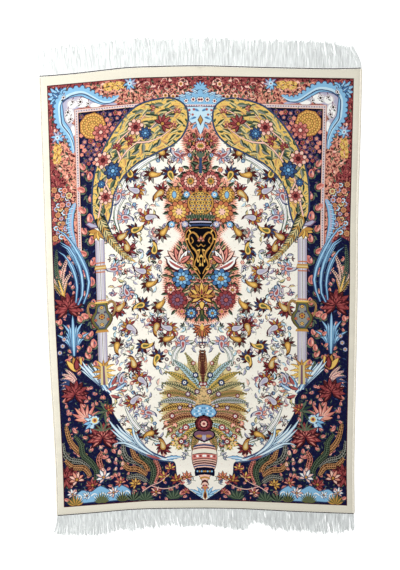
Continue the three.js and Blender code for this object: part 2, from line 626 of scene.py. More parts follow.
@dataclass(frozen=True)
class Frond:
    """A long palm frond through a few points, dark-edged and finely barred."""

    points: tuple[Point, ...]
    width: float
    body: Silk
    mark: Silk
    pitch: float = 6.0

    def lay(self, cartoon: Cartoon) -> None:
        """Draw the frond.

        Args:
            cartoon: the design that it joins.
        """
        for grow, silk in ((4.5, Silk.INK), (0.0, self.mark), (-3.4, self.body)):
            cartoon.lay(stroke(smooth(list(self.points), 5), lambda t: (self.width + grow) / 2
                               * (math.sin(math.pi * (0.1 + 0.86 * t)) ** 0.4)), silk)
        path = smooth(list(self.points), 6)
        gone = 0.0
        for (ax, ay), (bx, by) in zip(path, path[1:]):
            gone += math.hypot(bx - ax, by - ay)
            if gone < self.pitch:
                continue
            gone = 0.0
            head = math.degrees(math.atan2(by - ay, bx - ax))
            for side in (-1, 1):
                cartoon.lay(((0, -0.9), (self.width * 0.46, -0.4), (self.width * 0.46, 0.8), (0, 0.9)),
                            self.mark, Spot(ax, ay, head + side * 58))
        cartoon.lay(stroke(path, lambda t: 1.2), self.mark)


@dataclass(frozen=True)
class Palmette:
    """A fan of petals over a cup, opening along +X."""

    radius: float
    petal: Silk
    petal2: Silk
    edge: Silk
    cup: Silk
    count: int = 7
    spread: float = 200.0
    narrow: float = 0.34

    def lay(self, cartoon: Cartoon, spot: Spot) -> None:
        """Draw the palmette with its cup at the spot.

        Args:
            cartoon: the design that it joins.
            spot: its place.
        """
        order = sorted(range(self.count), key=lambda i: -abs(i - (self.count - 1) / 2))
        for i in order:
            turn = (i / (self.count - 1) - 0.5) * self.spread
            size = self.radius * (1 - 0.25 * abs(turn) / self.spread)
            wide = self.radius * self.narrow
            cartoon.lay(leaf(size, wide, 0, 4), self.edge, spot.at(0, 0, turn))
            cartoon.lay(leaf(size * 0.86, wide * 0.68, 0, 4), self.petal if i % 2 else self.petal2,
                        spot.at(size * 0.04, 0, turn))
        cartoon.lay(disc(self.radius * 0.24, 8), self.edge, spot)
        cartoon.lay(disc(self.radius * 0.15, 8), self.cup, spot)


@dataclass(frozen=True)
class Acanthus:
    """A long lobed leaf with a lighter heart and a vein."""

    length: float
    width: float
    bend: float
    teeth: int
    edge: Silk = Silk.BLUE
    body: Silk = Silk.SKY
    vein: Silk = Silk.PALE_SKY

    def lay(self, cartoon: Cartoon, spot: Spot) -> None:
        """Draw the leaf with its foot at the spot.

        Args:
            cartoon: the design that it joins.
            spot: its place.
        """
        cartoon.lay(acanthus(self.length, self.width, self.bend, self.teeth), self.edge, spot)
        cartoon.lay(acanthus(self.length * 0.95, self.width * 0.74, self.bend, self.teeth), self.body,
                    spot.at(self.length * 0.02, 0))
        cartoon.lay(stroke(bent(self.length * 0.86, self.bend * 0.9, 8),
                           lambda t: self.width * 0.09 * (1 - t) + 0.3), self.vein, spot)


def ribbon(cartoon: Cartoon, points: list[Point], width: float, silk: Silk, tip: float = 0.3,
           steps: int = 4) -> None:
    """Draw a tapering ribbon through a few points.

    Args:
        cartoon: the design that it joins.
        points: a few places on its middle line.
        width: its full width at the foot.
        silk: its colour.
        tip: the share of the width that is left at its end.
        steps: pieces between two points.
    """
    cartoon.lay(stroke(smooth(points, steps), lambda t: width / 2 * (1 + (tip - 1) * t)), silk)


# Zones of the design

CLOTH_HALF_WIDTH, CLOTH_HALF_LENGTH = 492.7, 720.0
# just past the cloth, so that the plain ground covers all of it
PAST_X, PAST_Y = -494, 722
# the pattern's left, upper and lower edges, and the thin dark line along them
EDGE_X, TOP_Y, FOOT_Y = -474.0, 692.0, -694.0
LINE = 2.6
# the outer corner of the beaded guard stripe
STRIPE_X, STRIPE_Y = -392, 613
# the zones name a silk in nearly every line, so its class has a short name here
S = Silk


def scatter(rng: random.Random, inside: Outline, pitch: float) -> list[Point]:
    """Return unevenly spread places inside an outline.

    Args:
        rng: the source of chance.
        inside: the outline that holds the places.
        pitch: mean spacing of the places.

    Returns:
        The places.
    """
    xs = [p[0] for p in inside]
    ys = [p[1] for p in inside]
    stray = 0.22
    row_step = 0.87 * pitch
    found = []
    row = 0
    y = min(ys) + pitch / 2
    while y < max(ys):
        x = min(xs) + pitch * (0.5 + 0.5 * (row % 2))
        while x < max(xs):
            place = (x + rng.uniform(-stray, stray) * pitch, y + rng.uniform(-stray, stray) * pitch)
            if within(place, inside):
                found.append(place)
            x += pitch
        y += row_step
        row += 1
    return found


def within(place: Point, outline: Outline) -> bool:
    """Say whether a place lies inside an outline.

    Args:
        place: the place.
        outline: the closed outline.

    Returns:
        True inside it.
    """
    x, y = place
    inside = False
    for (ax, ay), (bx, by) in zip(outline, outline[1:] + outline[:1]):
        if (ay > y) != (by > y) and x < ax + (y - ay) / (by - ay) * (bx - ax):
            inside = not inside
    return inside


def flames(path: Outline, reach: float, pitch: float) -> Outline:
    """Return a closed outline whose edge is cut into small flames that point outwards.

    Args:
        path: the line that they stand on.
        reach: how far the flames stand out.
        pitch: spacing of the flames.

    Returns:
        The outline's points.
    """
    out = []
    carry = 0.0
    for (ax, ay), (bx, by) in zip(path, path[1:]):
        size = math.hypot(bx - ax, by - ay)
        if size < 1e-6:
            continue
        nx, ny = (by - ay) / size, -(bx - ax) / size
        while carry < size:
            t = carry / size
            x, y = ax + (bx - ax) * t, ay + (by - ay) * t
            out.append((x, y))
            out.append((x + nx * reach + (bx - ax) / size * pitch * 0.2,
                        y + ny * reach + (by - ay) / size * pitch * 0.2))
            carry += pitch
        carry -= size
    return out


# outlines that several zones share, each through a few points of the left half
ARCH_OUTER = smooth([
    (-40, 560), (-44, 590), (-62, 612), (-92, 623), (-128, 621), (-165, 614), (-200, 600), (-236, 570),
    (-268, 532), (-298, 486), (-320, 440), (-334, 392), (-340, 340), (-340, 290), (-334, 262),
    (-318, 246)], 3)
ARCH_INNER = smooth([
    (-302, 234), (-290, 262), (-282, 300), (-276, 336), (-258, 372), (-232, 404), (-200, 430),
    (-165, 448), (-128, 466), (-92, 482), (-62, 506), (-46, 534), (-40, 560)], 3)
HALO = smooth([
    (0, 604), (-16, 580), (-30, 548), (-46, 520), (-52, 492), (-44, 462), (-30, 434), (-28, 408),
    (-48, 392), (-80, 366), (-98, 340), (-106, 306), (-104, 266), (-90, 236), (-66, 214), (-54, 192),
    (-76, 164), (-100, 126), (-112, 80), (-115, 30), (-106, -10), (-86, -46), (-56, -68), (-28, -82),
    (0, -90)], 3)
FAN = smooth([(0, -172), (-60, -180), (-112, -208), (-146, -258), (-166, -320), (-170, -390),
              (-152, -450), (-132, -500), (-108, -546), (-70, -520), (-40, -496), (0, -480)], 3)
SHORE = smooth([
    (-338, -276), (-322, -300), (-300, -330), (-300, -372), (-276, -420), (-248, -468), (-210, -510),
    (-168, -540), (-110, -554), (-96, -568), (-92, -606), (-70, -640), (-36, -668), (0, -694)], 3)


@dataclass
class Zone:
    """A part of the design, drawn on one cartoon."""

    cartoon: Cartoon

    def lay(self) -> None:
        """Draw the zone."""
        raise NotImplementedError


@dataclass
class Grounds(Zone):
    """The plain grounds under the motifs."""

    def lay(self) -> None:
        """Draw the ivory cloth, the pattern's margin and the coloured grounds."""
        c = self.cartoon
        c.lay(oblong(PAST_X, -PAST_Y, 0, PAST_Y), S.CREAM)
        c.lay(oblong(EDGE_X, FOOT_Y, 0, TOP_Y), S.INK)
        c.lay(oblong(EDGE_X, 180, 0, TOP_Y), S.MAROON)
        left, low, high = EDGE_X + LINE, FOOT_Y + LINE, TOP_Y - LINE
        c.lay(oblong(left, low, 0, high), S.MIDNIGHT)
        field = [(-338, 300), (-338, -276)] + SHORE[1:] + [(0, 640), (-338, 640)]
        c.lay(field, S.FIELD)
        red = [(left, 190), (-440, 206), (-410, 170), (-392, 160), (STRIPE_X, STRIPE_Y), (-120, STRIPE_Y),
               (-60, 600), (0, 600), (0, high), (left, high)]
        c.lay(red, S.MADDER)


@dataclass
class Margin(Zone):
    """The plain ivory band and the thin dark line around the pattern, over whatever reaches past it."""

    def lay(self) -> None:
        """Draw the band's three sides and the line."""
        c = self.cartoon
        for grow, silk in ((LINE, S.MAROON), (0.0, S.CREAM)):
            c.lay(oblong(PAST_X, -PAST_Y, EDGE_X + grow, PAST_Y), silk)
            c.lay(oblong(PAST_X, TOP_Y - grow, 0, PAST_Y), silk)
            c.lay(oblong(PAST_X, -PAST_Y, 0, FOOT_Y + grow), silk)


@dataclass
class Border(Zone):
    """The red border: salmon clouds, leaf scatter, blossom clusters and corner leaves."""

    def lay(self) -> None:
        """Draw the border."""
        c = self.cartoon
        rng = random.Random(5)
        top = [(-392, 613), (-430, 650), (-392, 676), (-352, 684), (-318, 680), (-300, 688), (-262, 688),
               (-226, 676), (-206, 650), (-184, 664), (-168, 640), (-130, 656), (-108, 640), (-84, 668),
               (-60, 650), (-30, 660), (0, 652), (0, 600), (-60, 600), (-120, 613)]
        side = [(-392, 613), (-392, 165), (-410, 176), (-424, 200), (-434, 236), (-422, 280), (-430, 320),
                (-412, 350), (-420, 392), (-446, 420), (-462, 452), (-466, 500), (-456, 540), (-440, 590),
                (-420, 640)]
        for cloud in (top, side):
            soft = smooth(cloud, 2, True)
            c.lay(soft, S.ROSE)
            mx = sum(p[0] for p in soft) / len(soft)
            my = sum(p[1] for p in soft) / len(soft)
            c.lay([(x + (mx - x) * 0.012, y + (my - y) * 0.05) if cloud is top
                   else (x + (mx - x) * 0.08 + 0.8, y + (my - y) * 0.012) for x, y in soft], S.CLOUD)
        whole = [(-468, 200), (-400, 200), (-398, 612), (0, 612), (0, 686), (-468, 686)]
        for i, (x, y) in enumerate(scatter(rng, whole, 15.0)):
            silk = (S.MAROON, S.GREEN, S.RED, S.SAGE, S.BLUSH, S.MAROON, S.ROSE)[i % 7]
            turn = rng.uniform(0, 360)
            Leaf(13, 6.5, silk, None, 20).lay(c, Spot(x, y, turn))
            if i % 3 == 0:
                Leaf(8, 3.5, S.GREEN, None, 0).lay(c, Spot(x, y, turn + 150))
        for i in range(26):
            x = -372 + i * 14.5
            c.lay(leaf(15, 4, 30, 3), S.BLUSH if i % 2 else S.SAGE,
                  Spot(x, 674 - (i * 7) % 22, 40 + 97 * i))
        self.lay_cluster(Spot(-264, 672, 0))
        self.lay_cluster(Spot(-450, 484, 84))
        self.lay_top_scrolls()
        self.lay_side_foot()
        self.lay_corner()

    def lay_cluster(self, spot: Spot) -> None:
        """Draw a cluster of yellow blossoms with a blue-grey bell beside it.

        Args:
            spot: its place.
        """
        c = self.cartoon
        rng = random.Random(9)
        for i in range(16):
            x, y = (i % 8) * 7.6 - 30, (i // 8) * 12 - 7 + rng.uniform(-3, 3)
            silk = S.YELLOW if i % 3 else S.GOLD
            c.lay(petals(6.6, 5, 0.3, 2), silk, spot.at(x, y, rng.uniform(0, 70)))
            c.lay(disc(1.9, 5), S.BROWN if i % 2 else S.STRAW, spot.at(x, y))
        bell = spot.at(46, 2, -20)
        for turn in (-70, -30, 20, 60, 110, 160, 215, 265):
            c.lay(leaf(24, 10, 26, 3), S.STEEL, bell.at(0, 0, turn))
            c.lay(leaf(21, 7, 26, 3), S.SKY if turn % 20 else S.LAVENDER, bell.at(1, 0, turn))
        c.lay(petals(8, 6, 0.3, 2), S.PALE_SKY, bell)
        c.lay(disc(3, 6), S.RED, bell)

    def lay_top_scrolls(self) -> None:
        """Draw the small scrolls beside the middle of the top border."""
        c = self.cartoon
        for i, (x, y, turn) in enumerate(((-176, 668, 10), (-146, 650, 200), (-120, 672, 40),
                                          (-92, 650, 150), (-66, 674, 20), (-150, 630, 170))):
            ribbon(c, [Spot(x, y, turn).carry([p])[0]
                       for p in ((0, 0), (8, 6), (17, 5), (20, -2), (14, -6))], 2.6, S.BLUSH)
            Palmette(11, S.MAUVE if i % 2 else S.ROSE, S.PINK, S.MAROON, S.GOLD, 5,
                     220).lay(c, Spot(x, y, turn + 180))
        for x, y in ((-108, 634), (-84, 630), (-60, 668)):
            Rosette(11, ((1, S.MAROON), (0.85, S.BLUSH), (0.5, S.GOLD), (0.2, S.BROWN)),
                    6).lay(c, Spot(x, y))

    def lay_side_foot(self) -> None:
        """Draw the blossoms where the side border ends above the blue leaves."""
        c = self.cartoon
        rng = random.Random(31)
        for i, (x, y) in enumerate(scatter(rng, oblong(-468, 208, -412, 376), 17.0)):
            r = rng.uniform(8, 13)
            silk = (S.TAN, S.PALE_SKY, S.SALMON, S.LAVENDER, S.STRAW)[i % 5]
            for turn in (30, 160, 270):
                c.lay(leaf(14, 5, 20, 3), S.GREEN if i % 2 else S.STEEL, Spot(x, y, turn + i * 40))
            Rosette(r, ((1, S.MAROON), (0.82, silk), (0.45, S.ROSE), (0.2, S.GOLD)),
                    7).lay(c, Spot(x, y, r * 9))
        path = [(-396, 322), (-410, 290), (-414, 250), (-408, 214), (-398, 184)]
        for width, silk in ((23, S.STEEL), (18, S.SKY), (8, S.LAVENDER)):
            c.lay(blade(path, width, 0.2), silk)
        for k in range(8):
            t = k / 7
            place = Spot(-402 - 11 * math.sin(math.pi * t), 306 - 104 * t, 195)
            Acanthus(18, 11, 20, 3, S.STEEL, S.SKY).lay(c, place)

    def lay_corner(self) -> None:
        """Draw the pale lobes of the corner, their blue arms and the fan of lobed leaves."""
        c = self.cartoon
        inner = smooth([
            (-391, 612), (-262, 612), (-282, 624), (-311, 626), (-340, 642), (-372, 660), (-402, 656),
            (-426, 634), (-432, 606), (-430, 577), (-410, 548), (-400, 516), (-391, 478)], 3, True)
        c.lay(inner, S.LAVENDER)
        for x, y, rx, ry in ((-366, 632, 26, 17), (-407, 596, 17, 27), (-398, 630, 18, 16),
                             (-326, 620, 20, 9), (-398, 548, 9, 20)):
            c.lay([(x + a * rx, y + b * ry) for a, b in disc(1, 12)], S.DOVE)
            c.lay([(x + 1 + a * rx * 0.8, y - 1 + b * ry * 0.8) for a, b in disc(1, 12)], S.WHITE)
        for turn, length, bend in (
                (92, 40, -60), (112, 48, -40), (132, 54, -10), (152, 54, 12), (172, 48, 34),
                (194, 42, 56), (70, 44, -76), (216, 40, 70), (142, 40, 0)):
            Acanthus(length, 30, bend, 4, S.STEEL, S.BLUE if length < 42 else S.SKY,
                     S.PALE_SKY).lay(c, Spot(-428, 644, turn))
        for points in (
                ((-446, 622), (-424, 652), (-396, 664), (-366, 664), (-338, 648), (-309, 630),
                 (-280, 627), (-252, 640)),
                ((-420, 664), (-438, 636), (-438, 600), (-434, 574), (-414, 546), (-402, 514),
                 (-399, 478))):
            line = resample(smooth(list(points), 3), 15)
            for grow, silk in ((2.2, S.STEEL), (0.0, S.SKY)):
                c.lay(blade(list(points), 24 + 2 * grow, 0.16), silk)
                for k in range(1, 14):
                    (ax, ay), (bx, by) = line[k - 1], line[k + 1]
                    size = math.hypot(bx - ax, by - ay)
                    out = 13 * math.sin(math.pi * (k + 1) / 16) * (1 if points[0][1] < 640 else -1)
                    c.lay(disc(7.0 * (1.2 - k / 22) + grow, 8), silk,
                          Spot(line[k][0] - (by - ay) / size * out, line[k][1] + (bx - ax) / size * out))
            c.lay(blade([(x + 1.5, y - 2.5) for x, y in points], 9), S.PALE_SKY)
            c.lay(blade([(x + 4.5, y - 7) for x, y in points], 3.5), S.STEEL)
        for x, y, r in ((-372, 634, 9), (-396, 636, 7), (-412, 606, 9), (-404, 584, 8), (-348, 626, 7),
                        (-424, 652, 7)):
            Rosette(r, ((1, S.MAUVE), (0.82, S.WHITE), (0.5, S.MAROON), (0.24, S.GREEN)),
                    6).lay(c, Spot(x, y, x))
            c.lay(leaf(10, 4, 20, 3), S.GREEN, Spot(x, y - r, 200))
            c.lay(leaf(10, 4, 20, 3), S.MAUVE, Spot(x, y + r, 70))


@dataclass
class GuardStripe(Zone):
    """The narrow pink stripe with its row of dark beads."""

    width: float = 13.0
    pitch: float = 8.0

    def lay(self) -> None:
        """Draw the stripe across the top and down the side."""
        c = self.cartoon
        for grow, silk in ((0.0, S.MAROON), (1.0, S.BLUSH), (3.2, S.DOVE)):
            left, right = STRIPE_X + grow, STRIPE_X + self.width - grow
            high, low = STRIPE_Y - grow, STRIPE_Y - self.width + grow
            c.lay([(left, high), (0, high), (0, low), (right, low), (right, 150), (left, 150)], silk)
        x, y = STRIPE_X + self.width / 2, STRIPE_Y - self.width / 2
        across = [(k, x + k * self.pitch, y) for k in range(48)]
        down = [(k, x, y - k * self.pitch) for k in range(1, 56)]
        for k, bead_x, bead_y in across + down:
            c.lay(disc(1.9, 5), S.RED if k % 2 else S.MAROON, Spot(bead_x, bead_y))


@dataclass
class Crest(Zone):
    """The light blue crest between the arch heads and its pendant."""

    def lay(self) -> None:
        """Draw the crest."""
        c = self.cartoon
        for turn in (60, 90, 120, 150, 180, 30):
            c.lay(leaf(26, 11, 0, 4), S.STEEL, Spot(0, 652, turn))
            c.lay(leaf(23, 8, 0, 4), S.SKY, Spot(0, 653, turn))
        cloud = smooth([(0, 652), (-16, 642), (-34, 640), (-52, 634), (-70, 624), (-84, 612), (-60, 606),
                        (-30, 604), (0, 606)], 3)
        c.lay(grown(cloud, 2.5), S.STEEL)
        c.lay(cloud, S.SKY)
        for x, turn in ((-8, 150), (-26, 160), (-44, 170), (-62, 190)):
            Acanthus(26, 15, 40, 3, S.STEEL, S.PALE_SKY, S.BLUE).lay(c, Spot(x, 640 + x * 0.28, turn))
        for x, y, r in ((-22, 620, 9), (-44, 616, 8), (-4, 620, 9), (-64, 613, 6)):
            Rosette(r, ((1, S.STEEL), (0.85, S.WHITE), (0.5, S.ROSE), (0.24, S.NAVY)),
                    6).lay(c, Spot(x, y, 20))
        c.lay([(-62, 596), (0, 596), (0, 606), (-64, 606)], S.DOVE)
        for k in range(8):
            c.lay(disc(2.2, 6), S.RED, Spot(-4 - k * 7.6, 601))
        body = smooth([(0, 597), (-42, 597), (-44, 584), (-30, 576), (-36, 560), (-26, 548), (-14, 552),
                       (-10, 534), (0, 512)], 3)
        c.lay(grown(body, 2.0), S.STEEL)
        c.lay(body, S.PALE_SKY)
        for x, y, turn in ((-4, 584, 160), (-12, 566, 200), (-10, 546, 230)):
            c.lay(leaf(24, 9, 30, 4), S.SKY, Spot(x, y, turn))
            c.lay(leaf(18, 5, 30, 4), S.BLUE, Spot(x, y, turn))
        for x, y in ((-20, 590), (-34, 588), (-24, 574)):
            c.lay(petals(4.6, 5, 0.3, 2), S.ROSE, Spot(x, y))
        c.lay([(0, 574), (-9, 558), (0, 540)], S.BROWN)
        c.lay([(0, 570), (-6.4, 558), (0, 545)], S.GOLD)


@dataclass
class NavyPanel(Zone):
    """The dark blue panel between the guard stripe and the arch or column."""

    def lay(self) -> None:
        """Draw the panel, its flowers and buds."""
        c = self.cartoon
        c.lay([(-379, 600), (-170, 600), (-300, 480), (-336, 400), (-338, -276), (-379, -250)], S.INK)
        c.lay([(-377, 598), (-172, 598), (-300, 480), (-338, 400), (-340, -276), (-377, -250)], S.MIDNIGHT)
        rng = random.Random(3)
        corner = [(-377, 598), (-180, 598), (-300, 480), (-338, 400), (-377, 400)]
        for i, (x, y) in enumerate(scatter(rng, corner, 17.0)):
            r = rng.uniform(6.5, 9.5)
            silk = (S.MAUVE, S.ROSE, S.PINK, S.MAUVE)[i % 4]
            Rosette(r, ((1, silk), (0.55, S.MAROON if i % 2 else S.SALMON), (0.25, S.GOLD)), 5,
                    0.3).lay(c, Spot(x, y, i * 40))
            c.lay(leaf(9, 3.5, 20, 3), S.SAGE if i % 2 else S.STEEL, Spot(x, y + 8, i * 77))
        y = 430.0
        i = 0
        while y > -232:
            side = -1 if i % 2 else 1
            Bud(29 + (i * 7) % 6).lay(c, Spot(-358 - side * 5, y - 10, 90 + side * 30 + (i % 3) * 12))
            for k, (dx, dy, turn) in enumerate(((-12, 4, 110), (12, 0, 50), (2, -22, 200), (13, -22, 300))):
                c.lay(leaf(13, 5, 26, 3), (S.SAGE, S.STEEL, S.GREEN, S.MAUVE)[(i + k) % 4],
                      Spot(-358 + dx * side, y + dy, turn))
            y -= 34
            i += 1
        self.lay_scaled_bloom(Spot(-336, 556))

    def lay_scaled_bloom(self, spot: Spot) -> None:
        """Draw the gold bloom of overlapping scales with a pink rosette on its foot.

        Args:
            spot: its place.
        """
        c = self.cartoon
        c.lay(petals(43, 9, 0.1, 3), S.BROWN, spot)
        c.lay(petals(41, 9, 0.1, 3), S.GOLD, spot)
        for ring in range(5):
            r = 35 - ring * 7.4
            count = max(int(2 * math.pi * r / 8.6), 4)
            for k in range(count):
                a = 360 * (k + 0.5 * (ring % 2)) / count
                place = spot.at(0, 0, a).at(r, 0)
                c.lay(disc(4.1, 6), S.BROWN if ring % 2 else S.ORANGE, place)
                c.lay(disc(3.0, 5), S.YELLOW, place.at(-0.6, 0))
        Blossom(28, S.PINK, S.ROSE, S.BLUSH, S.MAROON, 8).lay(c, spot.at(25, -22))


@dataclass
class Arch(Zone):
    """The gold arch with its boughs, leaves and flowers, on a capital and a column."""

    def lay(self) -> None:
        """Draw the arch."""
        c = self.cartoon
        whole = ARCH_OUTER + ARCH_INNER
        c.lay(grown(whole, 5.5), S.STEEL)
        c.lay(grown(whole, 1.0), S.MOSS)
        c.lay(whole, S.GILT)
        rng = random.Random(7)
        room = grown(whole, -4)
        for i, (x, y) in enumerate(scatter(rng, whole, 18.0)):
            out = math.degrees(math.atan2(y - 330, x + 60))
            head = out + (90 if i % 2 else -90) + rng.uniform(-50, 50)
            length = rng.uniform(27, 35)
            place = Spot(x, y, head)
            start = place.at(-length * 0.45, 0)
            tip = place.at(length * 0.5, 0)
            if not (within((start.x, start.y), room) and within((tip.x, tip.y), room)):
                length *= 0.6
                start = place.at(-length * 0.4, 0)
            first, second = ((S.GREEN, S.SAGE), (S.SAGE, S.ASH), (S.SAGE, S.STRAW), (S.GREEN, S.ASH),
                             (S.TAN, S.YELLOW), (S.GREEN, S.STRAW))[i % 6]
            Leaf(length, length * 0.4, first, second, rng.uniform(-40, 40)).lay(c, start)
        for points in (
                ((-326, 262), (-312, 320), (-296, 380), (-262, 430), (-228, 470), (-190, 500),
                 (-150, 540), (-110, 576), (-80, 590)),
                ((-250, 445), (-262, 490), (-232, 520), (-200, 545), (-170, 580)),
                ((-200, 492), (-160, 494), (-120, 510), (-80, 540)),
                ((-300, 372), (-286, 340), (-300, 310))):
            ribbon(c, list(points), 7.4, S.MAROON, 0.4)
            ribbon(c, list(points), 5.0, S.BLUSH, 0.4)
        blooms = ((-202, 540, 26, 60), (-118, 548, 34, 40), (-172, 520, 20, 120), (-150, 596, 14, 20),
                  (-306, 446, 27, 120), (-262, 480, 20, 60), (-276, 410, 28, 100), (-72, 584, 16, 90),
                  (-300, 330, 24, 90), (-224, 498, 22, 20), (-312, 372, 14, 70), (-84, 540, 15, 90))
        for i, (x, y, r, turn) in enumerate(blooms):
            first, second, cup = ((S.BLUSH, S.ROSE, S.MAROON), (S.ROSE, S.RED, S.GOLD),
                                  (S.STEEL, S.BLUE, S.SKY), (S.SALMON, S.ROSE, S.GOLD))[i % 4]
            if i % 2:
                Palmette(r, first, second, S.MAROON, cup, 7, 230, 0.4).lay(c, Spot(x, y, turn))
            else:
                Blossom(r * 1.08, first, second, cup, S.NAVY if i % 4 == 2 else S.MAROON,
                        8).lay(c, Spot(x, y, turn))
        self.lay_tail()

    def lay_tail(self) -> None:
        """Draw the leafy tail that sweeps from the arch's foot into the field."""
        c = self.cartoon
        path = [(-322, 268), (-304, 226), (-284, 190), (-260, 156), (-236, 132), (-210, 116)]
        ribbon(c, path, 40, S.STEEL, 0.1)
        ribbon(c, path, 35, S.MOSS, 0.1)
        ribbon(c, path, 12, S.YELLOW, 0.3)
        soft = smooth(path, 4)
        for i in range(0, len(soft) - 3):
            (ax, ay), (bx, by) = soft[i], soft[i + 1]
            head = math.degrees(math.atan2(by - ay, bx - ax))
            size = 28 * (1 - 0.6 * i / len(soft))
            for side in (-1, 1):
                silk = S.STRAW if i % 3 else S.GOLD
                Leaf(size, size * 0.36, silk, S.GREEN, side * 20).lay(c, Spot(ax, ay, head + side * 34))


def grown(outline: Outline, by: float) -> Outline:
    """Return a closed outline pushed outwards by a distance, or inwards below zero.

    Args:
        outline: the closed outline.
        by: the distance.

    Returns:
        The outline's points.
    """
    n = len(outline)
    area = sum(a[0] * b[1] - b[0] * a[1] for a, b in zip(outline, outline[1:] + outline[:1]))
    sign = 1 if area > 0 else -1
    out = []
    for i in range(n):
        ax, ay = outline[i - 1]
        bx, by_ = outline[(i + 1) % n]
        size = math.hypot(bx - ax, by_ - ay) or 1.0
        out.append((outline[i][0] + sign * (by_ - ay) / size * by,
                    outline[i][1] - sign * (bx - ax) / size * by))
    return out


@dataclass
class Column(Zone):
    """The slim column with its capital, ring, urn and gold foot plume."""

    x: float = -322.0

    def lay(self) -> None:
        """Draw the column."""
        c = self.cartoon
        x = self.x
        for half, silk in ((15, S.MAROON), (14, S.LAVENDER), (10.5, S.MAUVE), (9.8, S.DOVE),
                           (4.6, S.LAVENDER), (3, S.WHITE), (1.0, S.MAROON)):
            c.lay(oblong(x - half, -272, x + half, 196), silk)
        c.lay([(x - 19, 100), (x + 19, 100), (x + 17, 114), (x - 17, 114)], S.GOLD)
        c.lay([(x - 17, 104), (x + 17, 104), (x + 16, 109), (x - 16, 109)], S.STRAW)
        for y in (92, 122, 0, -100):
            c.lay(oblong(x - 15, y - 2, x + 15, y + 2), S.ORANGE)
        for i, turn in enumerate((200, 240, 270, 300, 340, 180, 0)):
            c.lay(leaf(34, 15, 0, 4), S.BROWN, Spot(x - 4, 226, turn))
            c.lay(leaf(31, 12, 0, 4), S.GOLD if i % 2 else S.YELLOW, Spot(x - 4, 226, turn))
        c.lay([(-366, 250), (-350, 236), (-300, 232), (-296, 240), (-330, 246), (-356, 258)], S.MAUVE)
        c.lay([(-362, 250), (-348, 239), (-302, 235), (-300, 239), (-330, 243), (-354, 254)], S.LAVENDER)
        self.lay_urn(Spot(x, -50))
        self.lay_plume(Spot(x, -238))

    def lay_urn(self, spot: Spot) -> None:
        """Draw the two-handled urn.

        Args:
            spot: its place.
        """
        c = self.cartoon
        for side in (-1, 1):
            for width, silk in ((11, S.BROWN), (8.0, S.TAN), (3.0, S.OLIVE)):
                ribbon(c, [spot.carry([(side * a, b)])[0] for a,
                           b in ((16, 36), (32, 44), (44, 30), (40, 6), (26, -14))], width, silk, 0.5)
        body = [(0, 46), (14, 44), (20, 32), (22, 14), (32, 2), (36, -14), (28, -32), (16, -44),
                (14, -52), (0, -52)]
        full = smooth([(a, b) for a, b in body] + [(-a, b) for a, b in body[1:-1]][::-1], 3, True)
        c.lay(full, S.BROWN, spot)
        c.lay([(a * 0.9, b * 0.95) for a, b in full], S.OLIVE, spot)
        c.lay([(a * 0.7, b * 0.8 - 2) for a, b in full], S.STEEL, spot)
        c.lay([(a * 0.6, b * 0.72 - 2) for a, b in full], S.ASH, spot)
        for a, b, r, silk in (
                (0, 26, 7, S.YELLOW), (0, -4, 11, S.GOLD), (-20, -14, 6, S.ORANGE),
                (20, -14, 6, S.ORANGE), (0, -30, 7, S.YELLOW), (-10, 10, 4, S.STEEL),
                (10, 10, 4, S.STEEL)):
            Rosette(r, ((1, S.MAROON), (0.8, silk), (0.35, S.RED)), 6).lay(c, spot.at(a, b, 30))
        c.lay([(-21, 40), (21, 40), (19, 46), (-19, 46)], S.YELLOW, spot)
        c.lay([(-22, -56), (22, -56), (18, -48), (-18, -48)], S.GOLD, spot)

    def lay_plume(self, spot: Spot) -> None:
        """Draw the gold leaves at the column's foot.

        Args:
            spot: its place.
        """
        c = self.cartoon
        for i, (turn, length, bend) in enumerate((
                (150, 46, 60), (120, 50, 50), (60, 50, -50), (30, 46, -60), (200, 44, -60), (340, 44, 60),
                (225, 36, -40), (315, 36, 40), (180, 40, 30), (0, 40, -30), (90, 44, 0))):
            c.lay(acanthus(length, 14, bend, 3), S.BROWN, spot.at(0, 0, turn))
            c.lay(acanthus(length * 0.94, 11, bend, 3), S.YELLOW if i % 2 else S.GOLD, spot.at(0, 0, turn))
        c.lay([(-12, -44), (12, -44), (9, 20), (-9, 20)], S.STRAW, spot)
        c.lay([(-4, -44), (4, -44), (3, 20), (-3, 20)], S.MAUVE, spot)


